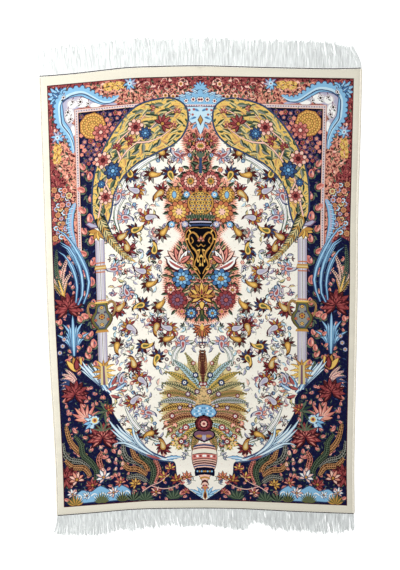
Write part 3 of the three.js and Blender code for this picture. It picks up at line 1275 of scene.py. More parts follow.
@dataclass
class Field(Zone):
    """The ivory niche field with its botehs, sprays and tendrils."""

    def lay(self) -> None:
        """Draw the field's motifs."""
        c = self.cartoon
        rng = random.Random(21)
        inside = [
            (-300, 150), (-290, 235), (-278, 300), (-262, 362), (-236, 396), (-200, 424), (-160, 446),
            (-110, 466), (-70, 480), (-56, 460), (-50, 430), (-80, 390), (-112, 340), (-130, 290),
            (-124, 240), (-90, 214), (-84, 190), (-120, 150), (-128, 90), (-132, 0), (-118, -50),
            (-70, -84), (0, -104), (0, -160), (-56, -160), (-104, -188), (-136, -240), (-156, -320),
            (-162, -400), (-150, -466), (-122, -520), (-112, -548), (-160, -530), (-206, -496),
            (-246, -450), (-284, -384), (-294, -324), (-292, -290), (-300, -276)]
        nodes = scatter(rng, inside, 69.0)
        kinds = (
            Paisley(50, S.MAROON, S.GOLD, S.STRAW, S.RED, S.MAROON),
            Paisley(44, S.STEEL, S.DOVE, S.ROSE, S.LAVENDER, S.SALMON, -1),
            Paisley(48, S.BROWN, S.YELLOW, S.OLIVE, S.MAROON, S.STEEL),
            Paisley(48, S.MAROON, S.DOVE, S.LAVENDER, S.RED, S.GOLD, -1),
            Paisley(47, S.BROWN, S.GOLD, S.YELLOW, S.ASH, S.MAROON))
        pales = ((S.LAVENDER, S.BLUSH), (S.PALE_SKY, S.LAVENDER), (S.STRAW, S.DOVE), (S.DOVE, S.PINK),
                 (S.LAVENDER, S.PALE_SKY))
        for i, (x, y) in enumerate(scatter(rng, inside, 31.0)):
            if min(math.hypot(x - a, y - b) for a, b in nodes) < 18:
                continue
            Spray(rng.uniform(23, 32), (S.SAGE, S.GREEN, S.ASH, S.MAUVE)[i % 4], pales[i % 5],
                  (S.MOSS, S.MAROON, S.GREEN, S.STEEL)[i % 4],
                  rng.choice((-80, 80))).lay(c, Spot(x, y, rng.uniform(0, 360)))
            if i % 4 == 0:
                Rosette(7.5, ((1, S.STEEL if i % 8 else S.ROSE), (0.6, S.SKY if i % 8 else S.BLUSH),
                              (0.25, S.GOLD)), 6).lay(c, Spot(x, y))
        for points, width in (
                (((-104, 458), (-158, 440), (-206, 408), (-240, 362), (-258, 300)), 17),
                (((-258, 216), (-270, 262), (-256, 312), (-226, 344), (-196, 352)), 13),
                (((-30, -150), (-66, -160), (-92, -196), (-84, -232), (-60, -246)), 12),
                (((-150, -486), (-196, -462), (-236, -414), (-262, -352)), 13)):
            Plume(points, width, 3, S.SAGE, S.WHITE, S.DOVE).lay(c)
        for i, (x, y) in enumerate(nodes):
            place = Spot(x, y, rng.uniform(0, 360))
            kinds[(i * 2 + i // 5) % 5].lay(c, place.at(-15, 0))


@dataclass
class Bouquet(Zone):
    """The tall vase bouquet on the centre line with its salmon flaming halo."""

    def lay(self) -> None:
        """Draw the halo, then the bouquet from the top down."""
        c = self.cartoon
        for reach, by, silk in ((11, 4.0, S.BLUSH), (10, 0, S.FLAME)):
            edge = flames(HALO, reach, 6.4)
            c.lay(grown(edge + [(0, -94), (0, 604)], by if by else 0.01), silk)
        c.lay([(x * 0.93, y) for x, y in HALO], S.FLAME)
        rng = random.Random(17)
        core = [(x * 0.9, 250 + (y - 250) * 0.97) for x, y in HALO] + [(0, -84), (0, 600)]
        for i, (x, y) in enumerate(scatter(rng, core, 13.5)):
            if y > 510:
                continue
            turn = math.degrees(math.atan2(y - (290 if y > 200 else 40), x)) + rng.uniform(-35, 35)
            first, second = ((S.MOSS, S.SAGE), (S.GREEN, S.SAGE), (S.MAROON, S.ROSE), (S.MOSS, S.OLIVE),
                             (S.GREEN, S.STRAW))[i % 5]
            Leaf(23, 10, first, second, 10).lay(c, Spot(x, y, turn).at(-10, 0))
            if i % 4 == 1:
                Rosette(7.5, ((1, S.MAROON), (0.8, (S.PINK, S.GOLD, S.SKY, S.BLUSH)[i // 4 % 4]),
                              (0.35, S.RED)), 6).lay(c, Spot(x, y))
        self.lay_upper_flowers()
        self.lay_vase()
        self.lay_lower_flowers()

    def lay_upper_flowers(self) -> None:
        """Draw the flowers above the vase."""
        c = self.cartoon
        for x, y, turn in ((-36, 500, 150), (-20, 510, 100), (-48, 468, 200), (-26, 452, 240)):
            Fern(34, 9, S.MAROON, S.ROSE, 20, 5).lay(c, Spot(x + 10, y - 14, turn))
        Palmette(24, S.ROSE, S.PINK, S.MAROON, S.GOLD, 9, 260, 0.3).lay(c, Spot(-34, 494, 150))
        Rosette(21, ((1, S.MAROON), (0.86, S.ROSE), (0.6, S.BLUSH), (0.45, S.GOLD), (0.2, S.OLIVE)), 10,
                0.26, True).lay(c, Spot(-3, 478))
        c.lay([(-5, 392), (0, 392), (0, 458), (-4, 458)], S.STEEL)
        c.lay([(-9, 444), (0, 440), (0, 456), (-7, 456)], S.SAGE)
        for x, y, turn in (
                (-14, 420, 160), (-26, 408, 130), (-44, 406, 160), (-12, 404, 200), (-52, 396, 200),
                (-20, 396, 220), (-60, 380, 170), (-66, 350, 210), (-10, 340, 200), (-96, 352, 150),
                (-106, 320, 190), (-104, 296, 210), (-106, 270, 190), (-100, 244, 220)):
            Leaf(26, 11, S.MOSS, S.SAGE, 10).lay(c, Spot(x + 10, y, turn))
        Blossom(34, S.ROSE, S.BLUSH, S.GOLD, petals=12).lay(c, Spot(-32, 368, 15))
        Rosette(14, ((1, S.MAROON), (0.86, S.GOLD), (0.4, S.OLIVE)), 8).lay(c, Spot(-32, 368, 15))
        for x, y in ((-62, 404), (-8, 340), (-60, 344)):
            Rosette(10, ((1, S.MAROON), (0.8, S.PINK), (0.4, S.GOLD)), 6).lay(c, Spot(x, y))
        Blossom(28, S.GOLD, S.YELLOW, S.SKY, S.BROWN, 11).lay(c, Spot(-83, 326))
        c.lay([(x * 0.62, y) for x, y in disc(13, 10)], S.STEEL, Spot(-83, 326))
        c.lay([(x * 0.6, y) for x, y in disc(10.5, 10)], S.SKY, Spot(-83, 326))
        Blossom(38, S.ORANGE, S.YELLOW, S.BLUSH, S.MAROON, 10).lay(c, Spot(-68, 272, 10))
        for k in range(6):
            c.lay(disc(3.4, 6), S.BLUSH, Spot(-68, 272, 60 * k).at(8.5, 0))
        self.lay_lattice()
        for k in range(6):
            Leaf(19, 9, S.GREEN, S.SAGE, 0).lay(c, Spot(-4 - k * 6.4, 248, 90 + 8 * k))
        for x, y, silk in ((-50, 232, S.LAVENDER), (-92, 232, S.SKY), (-44, 326, S.SKY)):
            Rosette(12, ((1, S.STEEL), (0.84, silk), (0.4, S.WHITE), (0.2, S.GOLD)),
                    6).lay(c, Spot(x, y, 10))

    def lay_lattice(self) -> None:
        """Draw the gold lattice ball above the vase's mouth."""
        c = self.cartoon
        c.lay(disc(43, 20), S.BROWN, Spot(0, 300))
        c.lay(disc(41, 20), S.GOLD, Spot(0, 300))
        c.lay(disc(36, 20), S.MOSS, Spot(0, 300))
        for k in range(5):
            for m in range(-3, 4):
                x, y = -k * 9.0 - (4.5 if m % 2 else 0), 300 + m * 9.6
                if math.hypot(x, y - 300) < 35:
                    c.lay(disc(5.6, 6), S.YELLOW if (k + m) % 2 else S.GOLD, Spot(x, y, 30))
                    c.lay(disc(3.2, 5), S.STEEL if m % 3 else S.GREEN, Spot(x, y))
        for k in range(5):
            c.lay(leaf(17, 8, 0, 3), S.ORANGE if k % 2 else S.MAROON,
                  Spot(-2 - k * 8, 334 - k * k * 0.8, 100 + 12 * k))

    def lay_vase(self) -> None:
        """Draw the black vase with its gold scrolls and blue-grey mouth."""
        c = self.cartoon
        c.lay(smooth([(0, 246), (-34, 244), (-40, 236), (-30, 228), (-30, 216), (0, 214)], 2), S.INK)
        c.lay([(0, 242), (-34, 241), (-36, 236), (0, 237)], S.LAVENDER)
        c.lay([(0, 233), (-30, 232), (-28, 226), (0, 227)], S.STEEL)
        body = smooth([(0, 218), (-26, 220), (-44, 206), (-47, 182), (-38, 156), (-24, 130), (-26, 104),
                       (-20, 84), (-8, 68), (0, 52)], 3)
        c.lay(grown(body, 2.4), S.GOLD)
        c.lay(body, S.INK)
        for points, width in (
                (((-4, 176), (-12, 196), (-26, 206), (-38, 196), (-38, 176), (-28, 158)), 6.5),
                (((-30, 190), (-24, 178), (-30, 170)), 4),
                (((-28, 158), (-16, 144), (-12, 128), (-20, 112), (-22, 98)), 6.5),
                (((-22, 98), (-12, 88), (-4, 72)), 5), (((-4, 150), (-8, 132), (-4, 112), (-8, 96)), 3.5),
                (((0, 168), (-8, 160), (-14, 166)), 3)):
            ribbon(c, list(points), width, S.GOLD, 0.5)
        for x, y, turn in ((-38, 186, 200), (-32, 204, 120), (-14, 146, 30), (-24, 118, 160),
                           (-14, 84, 150), (-6, 124, 60), (-10, 108, 100), (-4, 96, 90)):
            c.lay(leaf(13, 5.6, 20, 3), S.YELLOW, Spot(x, y, turn))
        Palmette(16, S.ROSE, S.SALMON, S.MAROON, S.SAGE, 5, 200).lay(c, Spot(0, 180, 90))

    def lay_lower_flowers(self) -> None:
        """Draw the lilies, rosettes and palmettes under the vase."""
        c = self.cartoon
        for x, y, turn in (
                (-98, 96, 200), (-104, 66, 170), (-96, 44, 200), (-44, 84, 60), (-38, 60, 40),
                (-108, 10, 190), (-60, -40, 250), (-84, -44, 230), (-30, -30, 260), (-12, -66, 250),
                (-56, 20, 70), (-14, 58, 120), (-10, 66, 170), (-46, -62, 250)):
            Leaf(24, 10, S.MOSS, S.SAGE, 10).lay(c, Spot(x, y, turn))
        lily = Spot(-68, 108)
        for turn, size, second in ((158, 56, S.WHITE), (134, 58, S.BLUSH), (108, 56, S.PINK),
                                   (82, 52, S.BLUSH), (58, 50, S.WHITE), (34, 42, S.PINK)):
            c.lay(leaf(size, 22, 0, 5), S.MAROON, lily.at(0, 0, turn))
            c.lay(leaf(size * 0.92, 15, 0, 5), second, lily.at(0, 1, turn))
            c.lay(leaf(size * 0.7, 4, 0, 3), S.BROWN, lily.at(0, 2, turn))
        c.lay(leaf(84, 26, 60, 7), S.MAROON, lily.at(-44, 14, -28))
        c.lay(leaf(78, 19, 56, 7), S.WHITE, lily.at(-41, 15, -28))
        c.lay(leaf(66, 8, 50, 7), S.ROSE, lily.at(-36, 10, -26))
        Blossom(35, S.BLUE, S.SKY, S.GOLD, S.NAVY, 8).lay(c, Spot(-62, 58, 8))
        Palmette(17, S.YELLOW, S.GOLD, S.BROWN, S.GOLD, 5, 150, 0.44).lay(c, Spot(-62, 52, 90))
        Blossom(22, S.RED, S.BLUSH, S.GOLD, S.MAROON, 8).lay(c, Spot(-99, 22, 20))
        Blossom(33, S.RED, S.MAUVE, S.ROSE, S.MAROON, 10).lay(c, Spot(-78, -12, 12))
        Blossom(22, S.STEEL, S.SKY, S.GOLD, S.NAVY, 8).lay(c, Spot(-34, -56, 4))
        Rosette(12, ((1, S.MAROON), (0.8, S.PINK), (0.4, S.GOLD)), 6).lay(c, Spot(-64, -50, 4))
        Palmette(50, S.GOLD, S.YELLOW, S.MAROON, S.MAROON, 9, 250, 0.36).lay(c, Spot(0, 0, 90))
        Palmette(27, S.RED, S.MAROON, S.GOLD, S.INK, 7, 230, 0.4).lay(c, Spot(0, 0, 90))
        c.lay([(0, -14), (-12, -22), (-7, -40), (0, -48)], S.MAROON)
        c.lay([(0, -18), (-8, -24), (-4, -38), (0, -42)], S.YELLOW)
        c.lay(leaf(26, 12, 0, 4), S.GREEN, Spot(0, -84, 90))
        for turn in (180, 205, 230, 250, 270, 155):
            c.lay(leaf(34, 13, 0, 4), S.MAROON, Spot(0, -108, turn))
            c.lay(leaf(28, 8, 0, 4), S.ORANGE if turn % 50 else S.GOLD, Spot(0, -108, turn))
        c.lay(leaf(24, 12, 0, 4), S.YELLOW, Spot(0, -114, 90))
        c.lay([(-2.2, -160), (0, -160), (0, -138), (-2, -138)], S.MAROON)


@dataclass
class LeafFan(Zone):
    """The lower vase with its fan of fern leaves."""

    def lay(self) -> None:
        """Draw the glow, the ferns, their rosettes and the vase."""
        c = self.cartoon
        for share, silk in ((0.78, S.STRAW), (0.68, S.HONEY)):
            c.lay(flames([(x * share, -400 + (y + 400) * share) for x, y in FAN], 12, 9)
                  + [(0, -470), (0, -260)], silk)
        silks = ((S.TAN, S.MAROON), (S.STRAW, S.OLIVE), (S.PALE_SKY, S.SAGE), (S.YELLOW, S.OLIVE),
                 (S.STRAW, S.GREEN), (S.TAN, S.OLIVE), (S.DOVE, S.SAGE), (S.YELLOW, S.BROWN),
                 (S.SALMON, S.OLIVE))
        fans = (
            (-2, -292, 90, 6, 112), (-8, -296, 106, 16, 120), (-12, -306, 118, 26, 128),
            (-16, -318, 130, 34, 128), (-20, -332, 140, 38, 126), (-24, -346, 148, 42, 124),
            (-26, -360, 155, 46, 126), (-28, -374, 161, 50, 124), (-28, -388, 167, 54, 126),
            (-28, -402, 173, 58, 124), (-26, -416, 180, 60, 122), (-24, -430, 189, 60, 114),
            (-20, -442, 200, 58, 104), (-16, -450, 214, 50, 92), (-12, -456, 230, 40, 76))
        for i, (x, y, head, bend, length) in enumerate(fans):
            body, mark = silks[i % len(silks)]
            Feather(length, 21, bend, body, mark).lay(c, Spot(x, y, head + bend / 2))
        for x, y, r, silk in (
                (-60, -287, 12, S.STEEL), (-24, -262, 11, S.STEEL), (-50, -326, 10, S.MAUVE),
                (-20, -318, 10, S.MAUVE), (-84, -240, 8, S.MAUVE), (-30, -222, 8, S.ROSE),
                (-78, -372, 9, S.MAUVE), (-104, -400, 11, S.RED), (-60, -440, 13, S.ROSE),
                (-100, -470, 11, S.ROSE), (-76, -488, 12, S.RED), (-6, -292, 9, S.RED),
                (-116, -208, 7, S.MAROON), (-44, -366, 8, S.MAUVE), (-112, -330, 8, S.RED)):
            Rosette(r, ((1, S.MAROON if silk is not S.STEEL else S.NAVY), (0.84, silk), (0.46, S.WHITE),
                        (0.22, S.MAROON)), 7, 0.14).lay(c, Spot(x, y, x))
        for i, (x, y) in enumerate(((-76, -452), (-92, -478), (-64, -474), (-112, -448), (-84, -506),
                                    (-124, -424), (-58, -498), (-104, -494), (-96, -432))):
            Rosette(10.5, ((1, S.MAROON), (0.84, (S.ROSE, S.YELLOW, S.SALMON)[i % 3]), (0.4, S.BLUSH)), 6,
                    0.24).lay(c, Spot(x, y, i * 50))
            c.lay(leaf(15, 6, 20, 3), S.GREEN if i % 2 else S.OLIVE, Spot(x, y, i * 77))
        for k in range(9):
            c.lay(disc(4.2, 6), S.MAROON, Spot(-1, -182 - k * 9))
            for side in (-1, 1):
                c.lay(leaf(11, 4.6, 0, 3), S.BROWN, Spot(-2, -184 - k * 9, 90 + side * 42))
        c.lay(smooth([(0, -360), (-22, -364), (-40, -378), (-44, -392), (-30, -406), (0, -410)], 3),
              S.STEEL)
        c.lay(smooth([(0, -363), (-22, -367), (-37, -380), (-40, -391), (-28, -403), (0, -407)], 3), S.SKY)
        for k, y in enumerate((-374, -384, -394)):
            for m in range(4 - k % 2):
                c.lay(disc(3.0, 6), S.WHITE if m % 2 else S.BLUE, Spot(-3 - m * 9 - 4 * (k % 2), y))
        Rosette(32, ((1, S.INK), (0.93, S.MAROON), (0.66, S.RED), (0.5, S.MAROON), (0.34, S.BLUSH),
                     (0.16, S.RED)), 9, 0.14).lay(c, Spot(0, -428, 10))
        c.lay(smooth([(0, -452), (-20, -448), (-36, -458), (-34, -474), (-18, -484), (0, -492)], 3), S.INK)
        c.lay(smooth([(0, -455), (-19, -452), (-32, -460), (-30, -472), (-16, -480), (0, -488)], 3),
              S.MAUVE)
        c.lay(leaf(24, 11, 0, 4), S.GOLD, Spot(-4, -470, 180))
        c.lay(leaf(22, 10, 0, 4), S.LAVENDER, Spot(0, -486, 100))
        self.lay_vase()

    def lay_vase(self) -> None:
        """Draw the banded vase and its foot."""
        c = self.cartoon
        profile = smooth([(-22, -494), (-28, -500), (-36, -510), (-41, -530), (-40, -556), (-34, -580),
                          (-22, -602), (-12, -616), (-8, -628), (-12, -640)], 3)
        c.lay([(0, -494)] + [(x - 2.2, y) for x, y in profile] + [(0, -642)], S.BROWN)
        c.lay([(0, -495)] + profile + [(0, -640)], S.BLUSH)
        bands = (
            (-500, -506, S.STEEL), (-510, -514, S.MAROON), (-517, -530, S.CREAM), (-530, -533, S.MAROON),
            (-533, -549, S.PINK), (-549, -552, S.MAROON), (-556, -560, S.BROWN), (-563, -568, S.MAROON),
            (-571, -576, S.STEEL), (-580, -606, S.NAVY), (-612, -618, S.GOLD), (-624, -632, S.MAROON))
        for top, foot, silk in bands:
            xs = [x for x, y in profile if foot - 6 < y < top + 6]
            half = -min(xs) - 2
            c.lay(smooth([(0, top + 3), (-half * 0.6, top + 1), (-half, top - 3), (-half, foot - 3),
                          (-half * 0.6, foot + 1), (0, foot + 3)], 2), silk)
        for k in range(4):
            c.lay(petals(5, 5, 0.3, 2), S.RED if k % 2 else S.WHITE, Spot(-3 - k * 10, -538 - k * 0.6))
            c.lay(disc(3.4, 6), S.SKY if k % 2 else S.GOLD, Spot(-3 - k * 7, -592))
        for x, y, turn in ((-44, -520, 200), (-46, -540, 180), (-40, -500, 150), (-34, -610, 200),
                           (-30, -626, 180)):
            Spray(24, S.SAGE, (S.DOVE, S.LAVENDER), S.STEEL).lay(c, Spot(x, y, turn))
        Rosette(13, ((1, S.MAROON), (0.8, S.PINK), (0.4, S.GOLD)), 6).lay(c, Spot(0, -650))
        for turn, length in ((120, 40), (150, 52), (175, 46), (210, 40), (90, 30)):
            Acanthus(length, 15, 30 if turn < 180 else -30, 4, S.STEEL, S.SKY).lay(c, Spot(-8, -680, turn))
        c.lay(leaf(36, 14, 0, 4), S.GOLD, Spot(0, -692, 90))
        c.lay(leaf(28, 8, 0, 4), S.MAROON, Spot(0, -690, 90))


@dataclass
class NavyCorner(Zone):
    """The dark blue side and lower corner with its big flowers, plumes and fronds."""

    def lay(self) -> None:
        """Draw the corner's scatter, then its plants from the top down."""
        c = self.cartoon
        inside = [(-468, 170), (-420, 150), (-384, 90), (-378, 0), (-378, -250), (-338, -286),
                  (-306, -334), (-304, -372), (-282, -420), (-254, -474), (-212, -516), (-170, -546),
                  (-112, -562), (-100, -606), (-76, -646), (-44, -688), (-468, -688)]
        rng = random.Random(12)
        c.lay(SHORE + [(-380, -690), (-380, -260)], S.MIDNIGHT)
        for i, (x, y) in enumerate(scatter(rng, inside, 25.0)):
            turn = rng.uniform(0, 360)
            if i % 3 == 0:
                Bud(rng.uniform(15, 21)).lay(c, Spot(x, y, turn))
            elif i % 3 == 1:
                Bud(rng.uniform(13, 18), S.PINK, S.MAUVE, S.STEEL).lay(c, Spot(x, y, turn))
            else:
                Leaf(14, 5, S.STEEL if i % 2 else S.SAGE, None, 30).lay(c, Spot(x, y, turn))
            c.lay(leaf(10, 3.6, 20, 3), S.SAGE if i % 4 else S.PINK, Spot(x + 8, y - 6, turn + 100))
        self.lay_upper_plants()
        self.lay_middle_plants()
        self.lay_fronds()
        self.lay_bank()
        self.lay_shore()

    def lay_upper_plants(self) -> None:
        """Draw the ears, the first red flower and the light blue plume."""
        c = self.cartoon
        for turn, length, width, bend, stem, leaflet in (
                (112, 150, 13, -24, S.OLIVE, S.BLUSH), (96, 168, 14, -30, S.MOSS, S.SAGE),
                (80, 150, 13, -50, S.BROWN, S.BLUSH), (70, 96, 12, -70, S.OLIVE, S.BLUSH),
                (124, 104, 11, 10, S.GOLD, S.OLIVE), (104, 118, 10, 20, S.GREEN, S.SAGE)):
            Fern(length, width, stem, leaflet, bend, 6.5).lay(c, Spot(-442, 16, turn))
        ribbon(c, [(-442, 4), (-444, 30), (-452, 60), (-458, 78)], 8, S.YELLOW, 0.3)
        ribbon(c, [(-441, 4), (-440, 34), (-430, 66)], 7, S.GOLD, 0.3)
        self.lay_peony(Spot(-430, -14, 90, 1.0), 52)
        for lean, reach, width in ((-1, 70, 12), (1, 70, 12), (-0.6, 104, 14), (0.6, 104, 14),
                                   (0, 132, 16)):
            Plume(((-416, -176), (-416 + lean * 6, -176 + reach * 0.4),
                   (-416 + lean * 22, -176 + reach * 0.8), (-416 + lean * 52, -172 + reach)), width,
                  3).lay(c)
        for x, y, turn, size in (
                (-462, -72, 70, 24), (-388, -68, 110, 27), (-364, -118, 60, 23), (-388, -118, 130, 19),
                (-368, -172, 80, 26), (-396, -156, 120, 17), (-356, -56, 90, 15), (-458, -104, 60, 14),
                (-352, -84, 60, 14), (-392, -196, 70, 15)):
            Bud(size).lay(c, Spot(x, y, turn))
        for x, y in ((-452, -140), (-462, -162), (-446, -118)):
            Rosette(9, ((1, S.STEEL), (0.8, S.LAVENDER), (0.4, S.GOLD)), 6).lay(c, Spot(x, y))

    def lay_peony(self, spot: Spot, radius: float, first: Silk = Silk.MAROON, second: Silk = Silk.RED,
                  third: Silk = Silk.ROSE) -> None:
        """Draw a big many-petalled flower opening along +X.

        Args:
            spot: its place.
            radius: length of its outer petals.
            first: the silk of every other petal.
            second: the silk of the petals between.
            third: the silk of the petals' hearts.
        """
        c = self.cartoon
        for ring, (share, count, spread) in enumerate(((1.0, 11, 270), (0.78, 9, 230), (0.55, 6, 190))):
            for i in range(count):
                turn = (i / (count - 1) - 0.5) * spread
                size = radius * share
                edge = spot.at(0, 0, turn)
                c.lay(leaf(size, size * 0.42, 0, 4), Silk.INK if ring == 0 else first, edge)
                c.lay(leaf(size * 0.93, size * 0.34, 0, 4), second if (i + ring) % 2 else first,
                      edge.at(size * 0.03, 0))
                c.lay(leaf(size * 0.6, size * 0.12, 0, 3), third, edge.at(size * 0.2, 0))

    def lay_middle_plants(self) -> None:
        """Draw the tulip, the lotus and the flowers between the side and the shore."""
        c = self.cartoon
        for turn, silk in ((100, S.GOLD), (70, S.YELLOW), (128, S.YELLOW), (86, S.ORANGE)):
            c.lay(leaf(56, 23, 0, 5), S.MAROON, Spot(-410, -232, turn))
            c.lay(leaf(51, 17, 0, 5), silk, Spot(-410, -230, turn))
        c.lay(leaf(44, 22, 0, 5), S.MAROON, Spot(-410, -226, 88))
        c.lay(leaf(34, 12, 0, 5), S.RED, Spot(-410, -222, 88))
        for turn in (150, 170, 190, 210, 130):
            Fern(56, 10, S.MAUVE, S.BLUSH if turn % 40 else S.LAVENDER, 30,
                 5.5).lay(c, Spot(-412, -262, turn))
        for turn in (160, 185, 205):
            c.lay(leaf(50, 9, 30, 4), S.STEEL, Spot(-424, -268, turn))
        self.lay_peony(Spot(-420, -304, 80), 48)
        for turn, length in ((10, 44), (34, 54), (58, 62), (82, 58), (106, 66), (128, 62), (150, 56),
                             (172, 40)):
            c.lay(leaf(length, 15, 0, 4), S.MAROON, Spot(-388, -398, turn))
            c.lay(leaf(length * 0.93, 11, 0, 4), S.PINK if turn % 4 else S.SALMON, Spot(-388, -397, turn))
            c.lay(leaf(length * 0.6, 3, 0, 3), S.BLUSH, Spot(-388, -392, turn))
        for turn in (150, 185, 215, 250, 120):
            c.lay(leaf(40, 15, 20, 4), S.STEEL, Spot(-362, -408, turn))
            c.lay(leaf(35, 11, 20, 4), S.SKY if turn % 2 else S.PALE_SKY, Spot(-363, -408, turn))
        Rosette(19, ((1, S.STEEL), (0.86, S.PALE_SKY), (0.55, S.YELLOW), (0.28, S.RED)),
                8).lay(c, Spot(-360, -400))
        for x, y, turn, size in (
                (-452, -352, 80, 15), (-462, -330, 50, 13), (-440, -376, 70, 13), (-320, -410, 60, 18),
                (-350, -350, 100, 15), (-336, -330, 70, 13), (-372, -328, 110, 13)):
            Bud(size).lay(c, Spot(x, y, turn))
        self.lay_peony(Spot(-336, -462, 84), 55, S.MAROON, S.RED, S.PINK)
        for turn in (100, 130, 60, 160, 20):
            c.lay(leaf(36, 6, 10, 4), S.SAGE, Spot(-336, -440, turn))

    def lay_fronds(self) -> None:
        """Draw the two groups of arched palm fronds."""
        c = self.cartoon
        for points, body, mark in (
                (((-386, -552), (-396, -520), (-424, -496), (-446, -462), (-456, -412)), S.BROWN, S.TAN),
                (((-384, -566), (-412, -540), (-448, -530), (-466, -506), (-470, -470)), S.MOSS, S.ASH),
                (((-382, -592), (-402, -562), (-440, -556), (-464, -530)), S.BROWN, S.TAN),
                (((-362, -612), (-346, -572), (-352, -536), (-340, -510)), S.BROWN, S.PINK),
                (((-372, -630), (-360, -582), (-378, -544), (-404, -516), (-410, -476), (-430, -448)),
                 S.MOSS, S.SAGE),
                (((-196, -584), (-216, -560), (-252, -546), (-268, -520), (-268, -488)), S.MOSS, S.ASH),
                (((-188, -590), (-200, -560), (-230, -540), (-242, -502)), S.BROWN, S.TAN),
                (((-194, -604), (-222, -582), (-256, -576), (-276, -550)), S.BROWN, S.TAN),
                (((-192, -626), (-222, -606), (-262, -610)), S.MOSS, S.ASH),
                (((-166, -622), (-154, -588), (-166, -548)), S.BROWN, S.PINK),
                (((-182, -638), (-170, -596), (-180, -562), (-206, -538), (-214, -508), (-234, -490)),
                 S.MOSS, S.SAGE)):
            Frond(points, 18, body, mark).lay(c)
        for x, y, turn, size in (
                (-330, -520, 80, 19), (-300, -500, 60, 18), (-284, -528, 80, 20), (-316, -552, 100, 15),
                (-276, -566, 70, 16), (-300, -580, 60, 14), (-336, -580, 110, 15), (-258, -600, 60, 13),
                (-322, -610, 90, 14), (-340, -500, 120, 14), (-296, -548, 80, 14)):
            Bud(size, S.PINK if x % 4 else S.BLUSH).lay(c, Spot(x, y, turn))

    def lay_bank(self) -> None:
        """Draw the foot of the corner: a light blue cloud band with flowers and tufts."""
        c = self.cartoon
        self.lay_peony(Spot(-462, -590, 30), 44)
        band = smooth([(-436, -664), (-412, -640), (-382, -648), (-350, -630), (-318, -646), (-286, -632),
                       (-254, -650), (-250, -674), (-300, -684), (-360, -682), (-420, -682)], 3, True)
        c.lay(grown(band, 3), S.STEEL)
        c.lay(band, S.SKY)
        for k in range(7):
            x = -424 + k * 27
            ribbon(c, [(x - 12, -662), (x, -654), (x + 10, -662), (x + 4, -670), (x - 2, -664)], 4,
                   S.WHITE, 0.5, 3)
        for x, y, r, first, second in (
                (-428, -600, 33, S.SALMON, S.BLUSH), (-338, -600, 32, S.WHITE, S.BLUSH),
                (-376, -624, 27, S.RED, S.ROSE), (-282, -622, 24, S.ROSE, S.SALMON),
                (-444, -650, 22, S.WHITE, S.BLUSH), (-306, -656, 25, S.WHITE, S.BLUSH),
                (-232, -632, 25, S.GOLD, S.YELLOW), (-136, -610, 24, S.ROSE, S.YELLOW),
                (-94, -622, 26, S.GOLD, S.RED), (-114, -580, 22, S.YELLOW, S.ROSE),
                (-64, -664, 18, S.ROSE, S.PINK), (-164, -662, 24, S.ROSE, S.BLUSH),
                (-396, -660, 18, S.WHITE, S.PALE_SKY), (-60, -612, 24, S.ORANGE, S.SALMON)):
            Palmette(r, first, second, S.MAROON if first is not S.WHITE else S.STEEL, S.GOLD, 7, 250,
                     0.42).lay(c, Spot(x, y, 90 + (x % 5) * 12))
        for x, y, spread, first, second in (
                (-346, -688, 5, S.OLIVE, S.SAGE), (-200, -690, 6, S.GREEN, S.SAGE),
                (-434, -690, 5, S.GOLD, S.OLIVE), (-276, -690, 4, S.GREEN, S.OLIVE),
                (-106, -688, 5, S.GREEN, S.SAGE), (-240, -690, 4, S.MOSS, S.SAGE)):
            for k in range(-spread, spread + 1):
                c.lay(leaf(42 - 2.4 * abs(k), 6, 8 * k, 3), first if k % 2 else second,
                      Spot(x, y, 90 - k * 14))
        for points in (((-210, -660), (-180, -640), (-150, -628), (-118, -600)),
                       ((-180, -640), (-140, -652), (-100, -644), (-80, -630))):
            ribbon(c, list(points), 5, S.MAUVE, 0.4)
            ribbon(c, list(points), 2.6, S.BLUSH, 0.4)

    def lay_shore(self) -> None:
        """Draw the light blue leaves between the dark corner and the ivory field."""
        c = self.cartoon
        for points, width, strands in (
                (((-380, -6), (-360, 50), (-368, 106), (-394, 164), (-418, 206), (-446, 238), (-466, 246)),
                 15, 3),
                (((-398, -8), (-384, 20), (-382, 78), (-398, 136), (-426, 184), (-452, 198), (-468, 172)),
                 17, 4),
                (((-404, 0), (-398, 54), (-408, 104), (-430, 150), (-456, 172)), 12, 3),
                (((-304, -312), (-328, -284), (-358, -248), (-386, -216), (-408, -180)), 20, 4),
                (((-326, -300), (-334, -262), (-346, -232), (-362, -204)), 14, 3),
                (((-104, -554), (-150, -545), (-204, -518), (-254, -476), (-290, -440), (-318, -396)),
                 26, 5),
                (((-150, -548), (-206, -520), (-244, -496), (-276, -484), (-306, -492)), 12, 3),
                (((-170, -532), (-206, -504), (-230, -468), (-236, -424)), 14, 3)):
            if points[0][1] < -100:
                Plume(points, width, strands, S.STEEL, S.PALE_SKY, S.WHITE).lay(c)
            else:
                Plume(points, width * 0.72, strands).lay(c)
        for x, y, turn, length, width, bend in (
                (-304, -300, 70, 50, 20, -20), (-316, -304, 120, 44, 18, 20),
                (-288, -304, 30, 44, 18, 10), (-130, -548, 6, 56, 20, -20)):
            Acanthus(length, width, bend, 4, S.STEEL, S.SKY, S.WHITE).lay(c, Spot(x, y, turn))
        for x, y, turn in ((-312, -300, 20), (-300, -286, 60), (-304, -318, -20)):
            c.lay(leaf(38, 13, 30, 4), S.MAROON, Spot(x, y, turn))
            c.lay(leaf(33, 9, 30, 4), S.ROSE, Spot(x, y, turn))
        for k in range(7):
            c.lay(leaf(44, 8, 12, 4), S.GREEN if k % 2 else S.SAGE, Spot(-322, -372, 40 + k * 38))
        Palmette(24, S.ORANGE, S.RED, S.MAROON, S.GOLD, 7, 240, 0.4).lay(c, Spot(-312, -368, 20))
        c.lay(leaf(60, 8, 16, 5), S.ROSE, Spot(-196, -530, -18))


# Meshes and nodes


